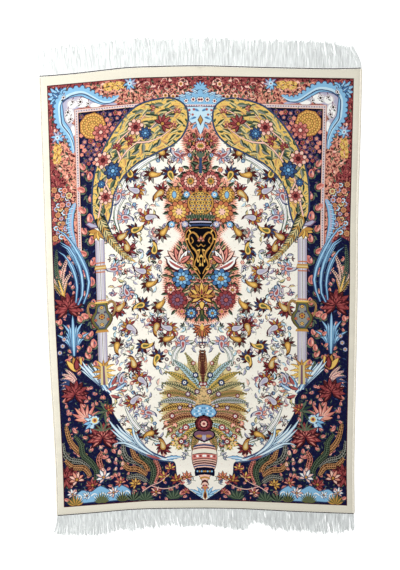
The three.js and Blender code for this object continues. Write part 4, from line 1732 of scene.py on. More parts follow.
def linear(hex_colour: str) -> tuple[float, float, float, float]:
    """Turn an sRGB hex colour into a linear one with full alpha.

    Args:
        hex_colour: six hex digits.

    Returns:
        Red, green, blue and alpha.
    """
    channels = [int(hex_colour[i:i + 2], 16) / 255 for i in (0, 2, 4)]
    flat = [c / 12.92 if c <= 0.04045 else ((c + 0.055) / 1.055) ** 2.4 for c in channels]
    return (flat[0], flat[1], flat[2], 1.0)


def add(tree: NodeTree, kind: str, settings: dict[str, object] | None = None,
        inputs: dict[str | int, object] | None = None) -> Node:
    """Add a node to a tree.

    Args:
        tree: the material's or modifier's node tree.
        kind: the node's type name.
        settings: its properties.
        inputs: for each input's name or place, a socket to link or a value to set.

    Returns:
        The new node.
    """
    node = tree.nodes.new(kind)
    for name, value in (settings or {}).items():
        setattr(node, name, value)
    for key, value in (inputs or {}).items():
        if isinstance(value, NodeSocket):
            tree.links.new(value, node.inputs[key])
        else:
            node.inputs[key].default_value = value
    return node


def mesh_object(name: str, points: np.ndarray, faces: np.ndarray) -> Object:
    """Make a mesh object of triangles, in the scene and at the origin.

    Args:
        name: the piece's name.
        points: one row of three metres for each corner.
        faces: one row of three corners for each triangle.

    Returns:
        The new object.
    """
    mesh = bpy.data.meshes.new(name)
    mesh.vertices.add(len(points))
    mesh.vertices.foreach_set("co", points.astype(np.float32).ravel())
    mesh.loops.add(faces.size)
    mesh.loops.foreach_set("vertex_index", faces.astype(np.int32).ravel())
    mesh.polygons.add(len(faces))
    mesh.polygons.foreach_set("loop_start", np.arange(0, faces.size, 3, dtype=np.int32))
    mesh.update(calc_edges=True)
    piece = bpy.data.objects.new(name, mesh)
    bpy.context.scene.collection.objects.link(piece)
    return piece


@dataclass(frozen=True)
class ClothLines:
    """The uneven end and side lines of the cloth, in metres, read from the frame."""

    top: np.ndarray
    bottom: np.ndarray
    left: np.ndarray
    right: np.ndarray

    @classmethod
    def from_frame(cls) -> "ClothLines":
        """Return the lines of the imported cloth's outline.

        Returns:
            The four lines.
        """
        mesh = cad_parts["knotted_cloth"].data
        places = np.array([v.co for v in mesh.vertices])
        low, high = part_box("knotted_cloth")
        wall = places[(places[:, 2] > low.z + 0.2 * MM) & (places[:, 2] < high.z - 0.2 * MM)]
        by_x = wall[np.argsort(wall[:, 0])]
        by_y = wall[np.argsort(wall[:, 1])]
        end, side = 45 * MM, 13 * MM
        return cls(by_x[by_x[:, 1] > high.y - end], by_x[by_x[:, 1] < low.y + end],
                   by_y[by_y[:, 0] < low.x + side], by_y[by_y[:, 0] > high.x - side])

    def end(self, x: np.ndarray, outward: int) -> np.ndarray:
        """Return Y of the top (1) or bottom (-1) line at places across."""
        line = self.top if outward > 0 else self.bottom
        return np.interp(x, line[:, 0], line[:, 1])

    def side(self, y: np.ndarray, outward: int) -> np.ndarray:
        """Return X of the right (1) or left (-1) line at places along."""
        line = self.right if outward > 0 else self.left
        return np.interp(y, line[:, 1], line[:, 0])

    def spread(self, design: np.ndarray) -> np.ndarray:
        """Return the places in metres of design places, which are rows of two millimetres.

        Args:
            design: places in the design.

        Returns:
            One row of X and Y for each place.
        """
        across = (design[:, 0] + CLOTH_HALF_WIDTH) / (2 * CLOTH_HALF_WIDTH)
        along = (design[:, 1] + CLOTH_HALF_LENGTH) / (2 * CLOTH_HALF_LENGTH)
        x, y = design[:, 0] * MM, design[:, 1] * MM
        # the sides depend on Y and the ends on X, so both settle over a few rounds
        for _ in range(4):
            x = self.side(y, -1) * (1 - across) + self.side(y, 1) * across
            y = self.end(x, -1) * (1 - along) + self.end(x, 1) * along
        return np.stack([x, y], 1)


# The cloth: the cartoon cut into triangles of one dye each


def covers(outline: Outline, xs: np.ndarray, ys: np.ndarray) -> np.ndarray:
    """Say which places lie inside an outline.

    Args:
        outline: the closed outline.
        xs: X of the places.
        ys: Y of the places.

    Returns:
        True for each place inside it.
    """
    inside = np.zeros(len(xs), bool)
    ax, ay = outline[-1]
    for bx, by in outline:
        if ay != by:
            inside ^= ((ay > ys) != (by > ys)) & (xs < ax + (ys - ay) / (by - ay) * (bx - ax))
        ax, ay = bx, by
    return inside


def dyes_at(shapes: list[tuple[Outline, Silk]], places: np.ndarray) -> np.ndarray:
    """Return the place in Silk of the topmost shape's dye at each place.

    Args:
        shapes: the outlines and their silks, the later ones on top.
        places: one row of X and Y for each place.

    Returns:
        One whole number for each place.
    """
    order = np.argsort(places[:, 0])
    xs, ys = places[order, 0], places[order, 1]
    rank = {silk: i for i, silk in enumerate(Silk)}
    found = np.zeros(len(places), int)
    for outline, silk in shapes:
        low_x, high_x = min(x for x, _ in outline), max(x for x, _ in outline)
        low_y, high_y = min(y for _, y in outline), max(y for _, y in outline)
        a, b = np.searchsorted(xs, (low_x, high_x))
        near = np.nonzero((ys[a:b] > low_y) & (ys[a:b] < high_y))[0] + a
        if len(near):
            found[order[near[covers(outline, xs[near], ys[near])]]] = rank[silk]
    return found


@dataclass
class Cut:
    """A flat patch of triangles in design millimetres, each of one dye."""

    points: np.ndarray
    faces: np.ndarray
    dyes: np.ndarray


def triangulate(points: np.ndarray, edges: np.ndarray, box: Box) -> tuple[np.ndarray, np.ndarray]:
    """Return the triangles, inside a box, that keep all the edges.

    Args:
        points: one row of X and Y for each point.
        edges: pairs of points that stay joined.
        box: lowest and highest X, then lowest and highest Y.

    Returns:
        The points and the triangles' corners.
    """
    closest = 1e-4
    result = delaunay_2d_cdt([Vector(p) for p in points], edges.tolist(), [], 0, closest, False)
    flat = np.array([tuple(v) for v in result[0]])
    faces = np.array(result[2])
    middle = flat[faces].mean(1)
    low_x, high_x, low_y, high_y = box
    keep = ((middle > (low_x, low_y)) & (middle < (high_x, high_y))).all(1)
    return flat, faces[keep]


def loops_of(shapes: list[tuple[Outline, Silk]]) -> tuple[list[Point], list[tuple[int, int]]]:
    """Return all the points and edges of some outlines.

    Args:
        shapes: the outlines and their silks, the later ones on top.

    Returns:
        The points, and the pairs of points that are joined.
    """
    points: list[Point] = []
    edges: list[tuple[int, int]] = []
    for outline, _ in shapes:
        first, count = len(points), len(outline)
        points += outline
        edges += [(first + i, first + (i + 1) % count) for i in range(count)]
    return points, edges


def seen_edges(points: np.ndarray, faces: np.ndarray, dyes: np.ndarray,
               tolerance: float) -> tuple[np.ndarray, np.ndarray]:
    """Return the edges where the dye changes, less the points that hardly bend them.

    Args:
        points: one row of X and Y for each point.
        faces: one row of three corners for each triangle.
        dyes: the dye of each triangle.
        tolerance: how far a line may move where a point is left out.

    Returns:
        The points that are left, and the pairs that are joined.
    """
    sides = np.sort(np.concatenate([faces[:, [0, 1]], faces[:, [1, 2]], faces[:, [2, 0]]]), 1)
    owner = np.tile(np.arange(len(faces)), 3)
    order = np.lexsort((sides[:, 1], sides[:, 0]))
    sides, owner = sides[order], owner[order]
    same = (sides[1:] == sides[:-1]).all(1)
    single = np.ones(len(sides), bool)
    single[1:][same] = False
    single[:-1][same] = False
    change = np.nonzero(same)[0]
    change = change[dyes[owner[change]] != dyes[owner[change + 1]]]
    kept = np.concatenate([sides[change], sides[single]])
    links: dict[int, set[int]] = {}
    for a, b in kept.tolist():
        links.setdefault(a, set()).add(b)
        links.setdefault(b, set()).add(a)
    for _ in range(3):
        frozen: set[int] = set()
        for middle, ends in list(links.items()):
            if len(ends) != 2 or middle in frozen:
                continue
            a, b = ends
            if b in links[a]:
                continue
            pa, pb, pm = points[a], points[b], points[middle]
            span = math.hypot(*(pb - pa))
            off = abs((pb[0] - pa[0]) * (pm[1] - pa[1]) - (pb[1] - pa[1]) * (pm[0] - pa[0])) / (span or 1)
            if off < tolerance:
                links[a].discard(middle)
                links[b].discard(middle)
                links[a].add(b)
                links[b].add(a)
                del links[middle]
                frozen.update(ends)
    used = sorted(links)
    rank = {p: i for i, p in enumerate(used)}
    return points[used], np.array([(rank[a], rank[b]) for a in used for b in links[a] if a < b])


def frame_lines(pitch: float, insets: tuple[float, ...]) -> tuple[list[Point], list[tuple[int, int]]]:
    """Return the half cloth's outline and lines just inside it, with points at a pitch.

    Args:
        pitch: spacing of the points.
        insets: the lines' distances from the edge.

    Returns:
        The points, and the pairs of points that are joined.
    """
    points: list[Point] = []
    edges: list[tuple[int, int]] = []
    for inset in insets:
        w, h = CLOTH_HALF_WIDTH - inset, CLOTH_HALF_LENGTH - inset
        first = len(points)
        across, along = int(w / pitch), int(2 * h / pitch)
        points += [(-w * k / across, -h) for k in range(across)]
        points += [(-w, -h + 2 * h * k / along) for k in range(along)]
        points += [(-w + w * k / across, h) for k in range(across + 1)]
        count = len(points) - first
        edges += [(first + i, first + i + 1) for i in range(count - 1)]
    return points, edges


def cut_half(shapes: list[tuple[Outline, Silk]], pitch: float, tolerance: float,
             insets: tuple[float, ...]) -> Cut:
    """Cut the left half of the cartoon into triangles of one dye each.

    Args:
        shapes: the cartoon's outlines, the later ones on top.
        pitch: spacing of the plain grid that carries the cloth's relief, in millimetres.
        tolerance: how far an outline may move where its points are thinned.
        insets: lines parallel to the edge that the rim needs.

    Returns:
        The triangles.
    """
    box = (-CLOTH_HALF_WIDTH, 0.0, -CLOTH_HALF_LENGTH, CLOTH_HALF_LENGTH)
    points, edges = loops_of(shapes)
    rim, rim_edges = frame_lines(pitch, insets)
    middle = [(0.0, -CLOTH_HALF_LENGTH), (0.0, CLOTH_HALF_LENGTH)]
    count = len(points) + len(rim)
    all_edges = edges + [(a + len(points), b + len(points)) for a, b in rim_edges] + [(count, count + 1)]
    flat, faces = triangulate(np.array(points + rim + middle), np.array(all_edges), box)
    dyes = dyes_at(shapes, flat[faces].mean(1))
    seen, seen_links = seen_edges(flat, faces, dyes, tolerance)
    xs = np.arange(-CLOTH_HALF_WIDTH + pitch / 2, 0, pitch)
    ys = np.arange(-CLOTH_HALF_LENGTH + pitch / 2, CLOTH_HALF_LENGTH, pitch)
    grid = np.array([(x, y) for x in xs for y in ys])
    every = np.concatenate([seen, np.array(rim + middle), grid])
    shift = len(seen)
    links = np.concatenate([seen_links, np.array(rim_edges) + shift,
                            [(shift + len(rim), shift + len(rim) + 1)]])
    flat, faces = triangulate(every, links, box)
    return Cut(flat, faces, dyes_at(shapes, flat[faces].mean(1)))


def mirrored(half: Cut) -> Cut:
    """Return a left half joined to its mirror image along the centre line.

    Args:
        half: the left half.

    Returns:
        The whole design.
    """
    used = np.unique(half.faces)
    rank = np.full(len(half.points), -1)
    rank[used] = np.arange(len(used))
    points, faces = half.points[used], rank[half.faces]
    area = np.cross(points[faces[:, 1]] - points[faces[:, 0]], points[faces[:, 2]] - points[faces[:, 0]])
    faces[area < 0] = faces[area < 0][:, ::-1]
    centre = np.abs(points[:, 0]) < 1e-3
    points[centre, 0] = 0.0
    twin = np.empty(len(points), int)
    twin[centre] = np.nonzero(centre)[0]
    twin[~centre] = len(points) + np.arange((~centre).sum())
    other = points[~centre] * (-1, 1)
    return Cut(np.concatenate([points, other]), np.concatenate([faces, twin[faces][:, ::-1]]),
               np.tile(half.dyes, 2))


def outer_loop(faces: np.ndarray) -> np.ndarray:
    """Return the corners along the open edge of a patch, in order.

    Args:
        faces: one row of three corners for each triangle.

    Returns:
        The corners' numbers.
    """
    directed = np.concatenate([faces[:, [0, 1]], faces[:, [1, 2]], faces[:, [2, 0]]])
    forward = {(a, b) for a, b in directed.tolist()}
    follow = {a: b for a, b in forward if (b, a) not in forward}
    start = next(iter(follow))
    loop = [start]
    while follow[loop[-1]] != start:
        loop.append(follow[loop[-1]])
    return np.array(loop)


@dataclass(frozen=True)
class SlabForm:
    """Heights of a thin slab whose design faces up or down."""

    face_z: float
    back_z: float
    rounding: float

    def build(self, name: str, cut: Cut, lines: ClothLines) -> Object:
        """Make the closed slab with its dyes in the colour attribute Dye.

        Args:
            name: the piece's name.
            cut: the whole design's triangles.
            lines: the cloth's end and side lines.

        Returns:
            The new object.
        """
        up = self.face_z > self.back_z
        inward = np.minimum(CLOTH_HALF_WIDTH - np.abs(cut.points[:, 0]),
                            CLOTH_HALF_LENGTH - np.abs(cut.points[:, 1]))
        r = self.rounding
        drop = r - np.sqrt(np.maximum(r * r - np.square(np.maximum(r - inward, 0)), 0))
        flat = lines.spread(cut.points)
        wave = relief(flat)
        z = self.face_z + (-drop + wave if up else drop + wave)
        front = np.column_stack([flat, z * MM])
        faces = cut.faces if up else cut.faces[:, ::-1]
        loop = outer_loop(faces)
        ring = front[loop].copy()
        ring[:, 2] = (self.back_z + wave[loop]) * MM
        first = len(front)
        count = len(loop)
        here, then = np.arange(count), (np.arange(count) + 1) % count
        wall = np.concatenate([np.column_stack([loop[then], loop[here], first + here]),
                               np.column_stack([loop[then], first + here, first + then])])
        flat_ring = cut.points[loop]
        box = (-CLOTH_HALF_WIDTH - 1, CLOTH_HALF_WIDTH + 1, -CLOTH_HALF_LENGTH - 1, CLOTH_HALF_LENGTH + 1)
        _, cap = triangulate(flat_ring, np.column_stack([here, then]), box)
        area = np.cross(flat_ring[cap[:, 1]] - flat_ring[cap[:, 0]],
                        flat_ring[cap[:, 2]] - flat_ring[cap[:, 0]])
        turned = (area > 0) == up
        cap[turned] = cap[turned][:, ::-1]
        points = np.concatenate([front, ring])
        every = np.concatenate([faces, wall, cap + first])
        piece = mesh_object(name, points, every)
        plain = [silk for silk in Silk].index(Silk.CREAM)
        dyes = np.concatenate([cut.dyes, np.full(len(wall) + len(cap), plain)])
        for key, palette in palettes().items():
            colours = piece.data.color_attributes.new(key, "FLOAT_COLOR", "CORNER")
            colours.data.foreach_set("color", np.repeat(palette[dyes], 3, 0).astype(np.float32).ravel())
        self.lay_out(piece, np.concatenate([cut.points, flat_ring]), len(cut.faces))
        piece.data.validate(verbose=True)
        return piece

    def lay_out(self, piece: Object, design: np.ndarray, faces: int) -> None:
        """Give the slab a flat map with its design large and its plain side small.

        Args:
            piece: the slab.
            design: each corner's place in the design.
            faces: how many of the first triangles show the design.
        """
        corners = np.empty(len(piece.data.loops), np.int32)
        piece.data.loops.foreach_get("vertex_index", corners)
        large, small, margin = 0.96 / (2 * CLOTH_HALF_LENGTH), 0.4 / (2 * CLOTH_HALF_LENGTH), 0.02
        place = design[corners] + (CLOTH_HALF_WIDTH, CLOTH_HALF_LENGTH)
        uv = place * large + margin
        rest = np.arange(len(corners)) >= faces * 3
        uv[rest] = place[rest] * small + (0.7, margin)
        layer = piece.data.uv_layers.new(name="OFBake")
        layer.data.foreach_set("uv", uv.astype(np.float32).ravel())


@dataclass(frozen=True)
class Filling:
    """The small filling of a ground: colour and relative size of its vines, leaves and buds."""

    vine: str
    leaf: str
    bud: str
    vine_size: float = 1.0
    leaf_size: float = 1.0
    bud_size: float = 1.0


FILLINGS = {
    Silk.FIELD: Filling("D9D4CC", "B4BAB0", "C9A392", 0.0, 0.0, 0.1),
    Silk.MIDNIGHT: Filling("26355F", "3A4A44", "A85C56", 0.28, 0.36, 0.0),
    Silk.CLOUD: Filling("A84C44", "566040", "7E2833", 0.7, 0.65, 0.42),
    Silk.MADDER: Filling("C87866", "4C141E", "D0826C", 0.5, 0.7, 0.25),
    Silk.GILT: Filling("B98A68", "8A7A3A", "C8923A", 0.0, 0.35, 0.0),
    Silk.FLAME: Filling("8A4A3C", "46583C", "9E3A3C", 0.4, 0.6, 0.35),
    Silk.HONEY: Filling("9A7A3C", "6E7048", "9A4A44", 0.5, 0.5, 0.25),}


def palettes() -> dict[str, np.ndarray]:
    """Return each colour attribute's table, one row for each silk, with sizes in its alpha.

    Returns:
        The tables under their names.
    """
    tables = {"Dye": [linear(silk.value) for silk in Silk], "Vine": [], "Leaf": [], "Bud": []}
    for silk in Silk:
        filling = FILLINGS.get(silk, Filling("000000", "000000", "000000", 0.0, 0.0, 0.0))
        tables["Vine"].append((*linear(filling.vine)[:3], filling.vine_size))
        tables["Leaf"].append((*linear(filling.leaf)[:3], filling.leaf_size))
        tables["Bud"].append((*linear(filling.bud)[:3], filling.bud_size))
    return {key: np.array(rows) for key, rows in tables.items()}


def relief(flat: np.ndarray) -> np.ndarray:
    """Return the cloth's slight unevenness in millimetres, always upwards from the floor.

    Args:
        flat: places in metres.

    Returns:
        One height for each place.
    """
    x, y = flat[:, 0], flat[:, 1]
    wave = np.sin(9.0 * y + 2.0 * x + 0.6) * np.sin(5.5 * x - 0.8) + 0.5 * np.sin(17.0 * y - 4.0 * x)
    return 0.28 * (1.5 + wave)


# Finishes

FULL_TURN = 6.283

def maths(tree: NodeTree, operation: str, *values: object) -> NodeSocket:
    """Add a math node on sockets or numbers and return its result."""
    return add(tree, "ShaderNodeMath", {"operation": operation}, dict(enumerate(values))).outputs[0]


def new_material(name: str) -> tuple[Material, NodeTree, Node]:
    """Return a new material with its tree and its shader.

    Args:
        name: the real material and how it is made.

    Returns:
        The material, its node tree and its main shader node.
    """
    material = bpy.data.materials.new(name)
    material.use_nodes = True
    return material, material.node_tree, material.node_tree.nodes["Principled BSDF"]


@dataclass(frozen=True)
class Scatter:
    """One small shape in each cell of an uneven net, turned at random. Lengths are millimetres."""

    pitch: float
    length: float
    width: float
    curve: float
    shift: float

    def add_to(self, tree: NodeTree, place: NodeSocket,
               size: NodeSocket) -> tuple[NodeSocket, NodeSocket]:
        """Add the shape's nodes.

        Args:
            tree: the material's tree.
            place: the place in millimetres.
            size: relative size at this place, 0 for none.

        Returns:
            How far inside the shape a place is, 1 or 0, and a random number of its cell.
        """
        moved = add(tree, "ShaderNodeVectorMath", {"operation": "ADD"},
                    {0: place, 1: (self.shift, self.shift, 0)})
        cell = add(tree, "ShaderNodeTexVoronoi", {"voronoi_dimensions": "2D"},
                   {"Vector": moved.outputs[0], "Scale": 1 / self.pitch, "Randomness": 0.75})
        chance = add(tree, "ShaderNodeSeparateColor", None, {"Color": cell.outputs["Color"]})
        local = add(tree, "ShaderNodeVectorMath", {"operation": "SUBTRACT"},
                    {0: moved.outputs[0], 1: cell.outputs["Position"]})
        turned = add(
            tree, "ShaderNodeVectorRotate", {"rotation_type": "Z_AXIS"},
            {"Vector": local.outputs[0], "Angle": maths(tree, "MULTIPLY", chance.outputs[0], FULL_TURN)})
        axes = add(tree, "ShaderNodeSeparateXYZ", None, {0: turned.outputs[0]})
        along = maths(tree, "MULTIPLY", axes.outputs[0], 2 / self.length)
        square = maths(tree, "MULTIPLY", along, along)
        across = maths(tree, "MULTIPLY", axes.outputs[1], 2 / self.width)
        bowed = maths(tree, "MULTIPLY_ADD", maths(tree, "SUBTRACT", square, 0.4), -self.curve, across)
        reach = maths(tree, "ADD", square, maths(tree, "ABSOLUTE", bowed))
        return maths(tree, "LESS_THAN", reach, size), chance.outputs[1]


@dataclass(frozen=True)
class KnottedSilk:
    """Silk tied in knots and clipped short: dyed ends that glow softly."""

    name: str = "knotted_silk_pile"
    roughness: float = 0.5
    sheen: float = 0.0
    knot_mm: float = 1.3
    bump_mm: float = 0.25
    saturation: float = 0.86
    # painted shade: the gamma that darkens every dye, standing in for light lost between the pile ends
    depth: float = 1.22

    def make(self) -> Material:
        """Return the material, which reads the dye and the filling's colours from attributes.

        Returns:
            The material.
        """
        material, tree, shader = new_material(self.name)
        place = add(tree, "ShaderNodeTexCoord").outputs["Object"]
        colour = self.fill(tree, place)
        # rows of one dye lot after another, a few centimetres each
        rows = add(tree, "ShaderNodeMapping", None, {"Vector": place, "Scale": (1.2, 26.0, 1.0)})
        lots = add(tree, "ShaderNodeTexNoise", None, {"Vector": rows.outputs[0], "Scale": 1.0,
                                                      "Detail": 2.0})
        # each knot takes the dye a little differently
        knots = add(tree, "ShaderNodeTexVoronoi", None, {"Vector": place, "Scale": 1
                                                         / (self.knot_mm * MM), "Randomness": 0.5})
        grain = add(tree, "ShaderNodeTexNoise", None, {"Vector": place, "Scale": 1
                                                       / (3 * self.knot_mm * MM), "Detail": 3.0})
        both = maths(tree, "ADD", lots.outputs["Fac"], grain.outputs["Fac"])
        value = add(tree, "ShaderNodeMapRange", None, {"Value": both, "From Min": 0.6, "From Max": 1.4,
                                                       "To Min": 0.92, "To Max": 1.05})
        hsv = add(tree, "ShaderNodeHueSaturation", None, {"Color": colour, "Saturation": self.saturation,
                                                          "Value": value.outputs[0]})
        # painted shade: every dye is darkened by a gamma, as if light sinks between the standing ends, so
        # the dark dyes look deeper than the yarn
        deep = add(tree, "ShaderNodeGamma", None, {"Color": hsv.outputs[0], "Gamma": self.depth})
        tree.links.new(deep.outputs[0], shader.inputs["Base Color"])
        bump = add(tree, "ShaderNodeBump", None, {"Strength": 0.5, "Distance": self.bump_mm * MM,
                                                  "Height": knots.outputs["Distance"]})
        tree.links.new(bump.outputs[0], shader.inputs["Normal"])
        shader.inputs["Roughness"].default_value = self.roughness
        shader.inputs["Sheen Weight"].default_value = self.sheen
        shader.inputs["Sheen Roughness"].default_value = 0.4
        shader.inputs["Specular IOR Level"].default_value = 0.04
        return material

    def fill(self, tree: NodeTree, place: NodeSocket) -> NodeSocket:
        """Add the grounds' vines, leaves and buds over the dye, alike on both sides of the middle.

        Args:
            tree: the material's tree.
            place: the place in metres.

        Returns:
            The resulting socket.
        """
        folded = add(tree, "ShaderNodeVectorMath", {"operation": "ABSOLUTE"}, {0: place})
        axes = add(tree, "ShaderNodeSeparateXYZ", None, {0: place})
        half = add(tree, "ShaderNodeSeparateXYZ", None, {0: folded.outputs[0]})
        level = add(tree, "ShaderNodeCombineXYZ", None, {0: half.outputs[0], 1: axes.outputs[1]})
        flat = add(tree, "ShaderNodeVectorMath", {"operation": "SCALE"},
                   {0: level.outputs[0], "Scale": 1000.0})
        mm = flat.outputs[0]
        read = {key: add(tree, "ShaderNodeAttribute", {"attribute_name": key})
                for key in ("Dye", "Vine", "Leaf", "Bud")}
        colour = read["Dye"].outputs["Color"]
        wander = add(tree, "ShaderNodeTexNoise", {"noise_dimensions": "2D"},
                     {"Vector": mm, "Scale": 1 / 34, "Detail": 0.0})
        ring = maths(tree, "PINGPONG", wander.outputs["Fac"], 0.07)
        thin = maths(tree, "LESS_THAN", ring, maths(tree, "MULTIPLY", read["Vine"].outputs["Alpha"], 0.006))
        colour = self.over(tree, colour, read["Vine"].outputs["Color"], thin)
        for kind, shape in (
                ("Vine", Scatter(17.0, 19.0, 5.0, 1.3, 31.0)),
                ("Leaf", Scatter(15.0, 15.0, 5.4, 0.7, 7.0)),
                ("Leaf", Scatter(12.0, 9.0, 3.6, 0.0, 83.0)),
                ("Bud", Scatter(21.0, 14.0, 11.0, 0.2, 57.0))):
            inside, chance = shape.add_to(tree, mm, read[kind].outputs["Alpha"])
            shade = add(tree, "ShaderNodeMapRange", None, {"Value": chance, "To Min": 0.62, "To Max": 1.3})
            tint = add(tree, "ShaderNodeHueSaturation", None,
                       {"Color": read[kind].outputs["Color"], "Value": shade.outputs[0]})
            colour = self.over(tree, colour, tint.outputs[0], inside)
        return colour

    def over(self, tree: NodeTree, below: NodeSocket, above: NodeSocket, share: NodeSocket) -> NodeSocket:
        """Lay one colour over another by a share and return the result."""
        mix = add(tree, "ShaderNodeMix", {"data_type": "RGBA"}, {0: share, 6: below, 7: above})
        return mix.outputs[2]


@dataclass(frozen=True)
class SpunYarn:
    """Spun or reeled yarn: one colour whose brightness wanders along it, with fine ply bumps."""

    name: str
    colour: str
    roughness: float
    sheen: float
    ply_mm: float
    spread: float = 0.08
    stretch: tuple[float, float, float] = (1.0, 1.0, 1.0)

    def make(self) -> Material:
        """Return the material.

        Returns:
            The material.
        """
        material, tree, shader = new_material(self.name)
        place = add(tree, "ShaderNodeTexCoord").outputs["Object"]
        along = add(tree, "ShaderNodeMapping", None, {"Vector": place, "Scale": self.stretch})
        noise = add(tree, "ShaderNodeTexNoise", None, {"Vector": along.outputs[0], "Scale": 1 / (9 * MM),
                                                       "Detail": 3.0})
        # brightness wanders along the yarn: its own uneven tone, which for the loose fringe is stretched
        # into long darker streaks of painted shade between the yarns
        value = add(
            tree, "ShaderNodeMapRange", None, {"Value": noise.outputs["Fac"], "From Min": 0.3,
             "From Max": 0.7, "To Min": 1 - self.spread, "To Max": 1 + self.spread * 0.5})
        hsv = add(tree, "ShaderNodeHueSaturation", None, {"Color": linear(self.colour),
                                                          "Value": value.outputs[0]})
        tree.links.new(hsv.outputs[0], shader.inputs["Base Color"])
        ply = add(tree, "ShaderNodeTexNoise", None, {"Vector": place, "Scale": 1 / (self.ply_mm * MM),
                                                     "Detail": 1.0})
        bump = add(tree, "ShaderNodeBump", None, {"Strength": 0.4, "Distance": 0.15 * MM,
                                                  "Height": ply.outputs["Fac"]})
        tree.links.new(bump.outputs[0], shader.inputs["Normal"])
        shader.inputs["Roughness"].default_value = self.roughness
        shader.inputs["Sheen Weight"].default_value = self.sheen
        shader.inputs["Specular IOR Level"].default_value = 0.3
        return material


# Sub-assemblies


@dataclass
class KnottedCloth:
    """The knotted pile and the woven back under it, cut from the cartoon."""

    lines: ClothLines
    pile_top: float = 4.0
    pile_foot: float = 1.9
    back_top: float = 1.7
    rounding: float = 0.8
    relief_pitch: float = 20.0
    relief_height: float = 0.85
    pile_tolerance: float = 0.5
    back_tolerance: float = 0.8
    least_breadth_behind: float = 14.0

    def build(self) -> list[Object]:
        """Return the pile and the back.

        Returns:
            The two pieces.
        """
        cartoon = draw_cartoon()
        insets = (0.0, self.rounding * 0.3, self.rounding)
        pile_cut = mirrored(cut_half(cartoon.shapes, self.relief_pitch, self.pile_tolerance, insets))
        form = SlabForm(self.pile_top - self.relief_height, self.pile_foot, self.rounding)
        pile = form.build("silk_pile", pile_cut, self.lines)
        large = [shape for shape in cartoon.shapes if breadth(shape[0]) > self.least_breadth_behind]
        back_cut = mirrored(cut_half(large, 2 * self.relief_pitch, self.back_tolerance, (0.0,)))
        back = SlabForm(0.0, self.back_top, 0.0).build("woven_back", back_cut, self.lines)
        pile.data.materials.append(KnottedSilk().make())
        back.data.materials.append(KnottedSilk("knotted_silk_back", 0.75, 0.08, 1.3, 0.15).make())
        for piece in (pile, back):
            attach(piece, "root")
            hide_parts("knotted_cloth")
            log.info("%s has %d triangles", piece.name, len(piece.data.polygons))
        return [pile, back]


def breadth(outline: Outline) -> float:
    """Return the geometric mean of an outline's two extents."""
    xs, ys = [p[0] for p in outline], [p[1] for p in outline]
    return math.sqrt((max(xs) - min(xs)) * (max(ys) - min(ys)))


def draw_cartoon() -> Cartoon:
    """Return the left half of the design.

    Returns:
        The filled outlines.
    """
    cartoon = Cartoon()
    for zone in (Grounds, Field, Bouquet, LeafFan, Border, GuardStripe, Crest, NavyPanel, NavyCorner,
                 Column, Arch, Margin):
        zone(cartoon).lay()
    return cartoon


def swept(name: str, points: np.ndarray, group: NodeTree, values: dict[str, object],
          attributes: dict[str, np.ndarray] | None = None, closed_line: bool = True) -> Object:
    """Run a Geometry Nodes tree on a line or on loose points and keep the result as a plain mesh.

    Args:
        name: the piece's name.
        points: places in metres.
        group: the tree.
        values: values of its named inputs.
        attributes: one number for each point under each name.
        closed_line: whether the points are joined by edges, in order.

    Returns:
        The finished object.
    """
    line = bpy.data.meshes.new(name + "_line")
    edges = [(i, i + 1) for i in range(len(points) - 1)] if closed_line else []
    line.from_pydata([tuple(p) for p in points], edges, [])
    for key, column in (attributes or {}).items():
        line.attributes.new(key, "FLOAT", "POINT").data.foreach_set("value", column.astype(np.float32))
    carrier = bpy.data.objects.new(name + "_line", line)
    bpy.context.scene.collection.objects.link(carrier)
    modifier = carrier.modifiers.new("make", "NODES")
    modifier.node_group = group
    for item in group.interface.items_tree:
        if item.item_type == "SOCKET" and item.in_out == "INPUT" and item.name in values:
            modifier[item.identifier] = values[item.name]
    ready = carrier.evaluated_get(bpy.context.evaluated_depsgraph_get())
    mesh = bpy.data.meshes.new_from_object(ready)
    mesh.name = name
    carrier.modifiers.remove(modifier)
    bpy.data.objects.remove(carrier)
    piece = bpy.data.objects.new(name, mesh)
    bpy.context.scene.collection.objects.link(piece)
    return piece


def new_group(name: str, sizes: dict[str, float]) -> tuple[NodeTree, Node]:
    """Return a new geometry tree with a mesh, named sizes and a material as inputs.

    Args:
        name: the tree's name.
        sizes: the named sizes and their usual values, in metres.

    Returns:
        The tree and its input node.
    """
    group = bpy.data.node_groups.new(name, "GeometryNodeTree")
    group.interface.new_socket("Geometry", in_out="INPUT", socket_type="NodeSocketGeometry")
    for key, value in sizes.items():
        group.interface.new_socket(key, in_out="INPUT", socket_type="NodeSocketFloat").default_value = value
    group.interface.new_socket("Material", in_out="INPUT", socket_type="NodeSocketMaterial")
    group.interface.new_socket("Geometry", in_out="OUTPUT", socket_type="NodeSocketGeometry")
    return group, group.nodes.new("NodeGroupInput")


def finish_group(group: NodeTree, made: NodeSocket, given: Node) -> None:
    """End a geometry tree in realized instances with the given material.

    Args:
        group: the tree.
        made: the geometry.
        given: the tree's input node.
    """
    real = add(group, "GeometryNodeRealizeInstances", None, {"Geometry": made})
    dressed = add(group, "GeometryNodeSetMaterial", None,
                  {"Geometry": real.outputs[0], "Material": given.outputs["Material"]})
    add(group, "NodeGroupOutput", None, {"Geometry": dressed.outputs[0]})


def even_curve(group: NodeTree, given: Node) -> NodeSocket:
    """Return the given line as a curve whose points are a Step apart.

    Args:
        group: the tree.
        given: the tree's input node.

    Returns:
        The resulting socket.
    """
    curve = add(group, "GeometryNodeMeshToCurve", None, {"Mesh": given.outputs["Geometry"]})
    return add(group, "GeometryNodeResampleCurve", {"mode": "LENGTH"},
               {"Curve": curve.outputs[0], "Length": given.outputs["Step"]}).outputs[0]


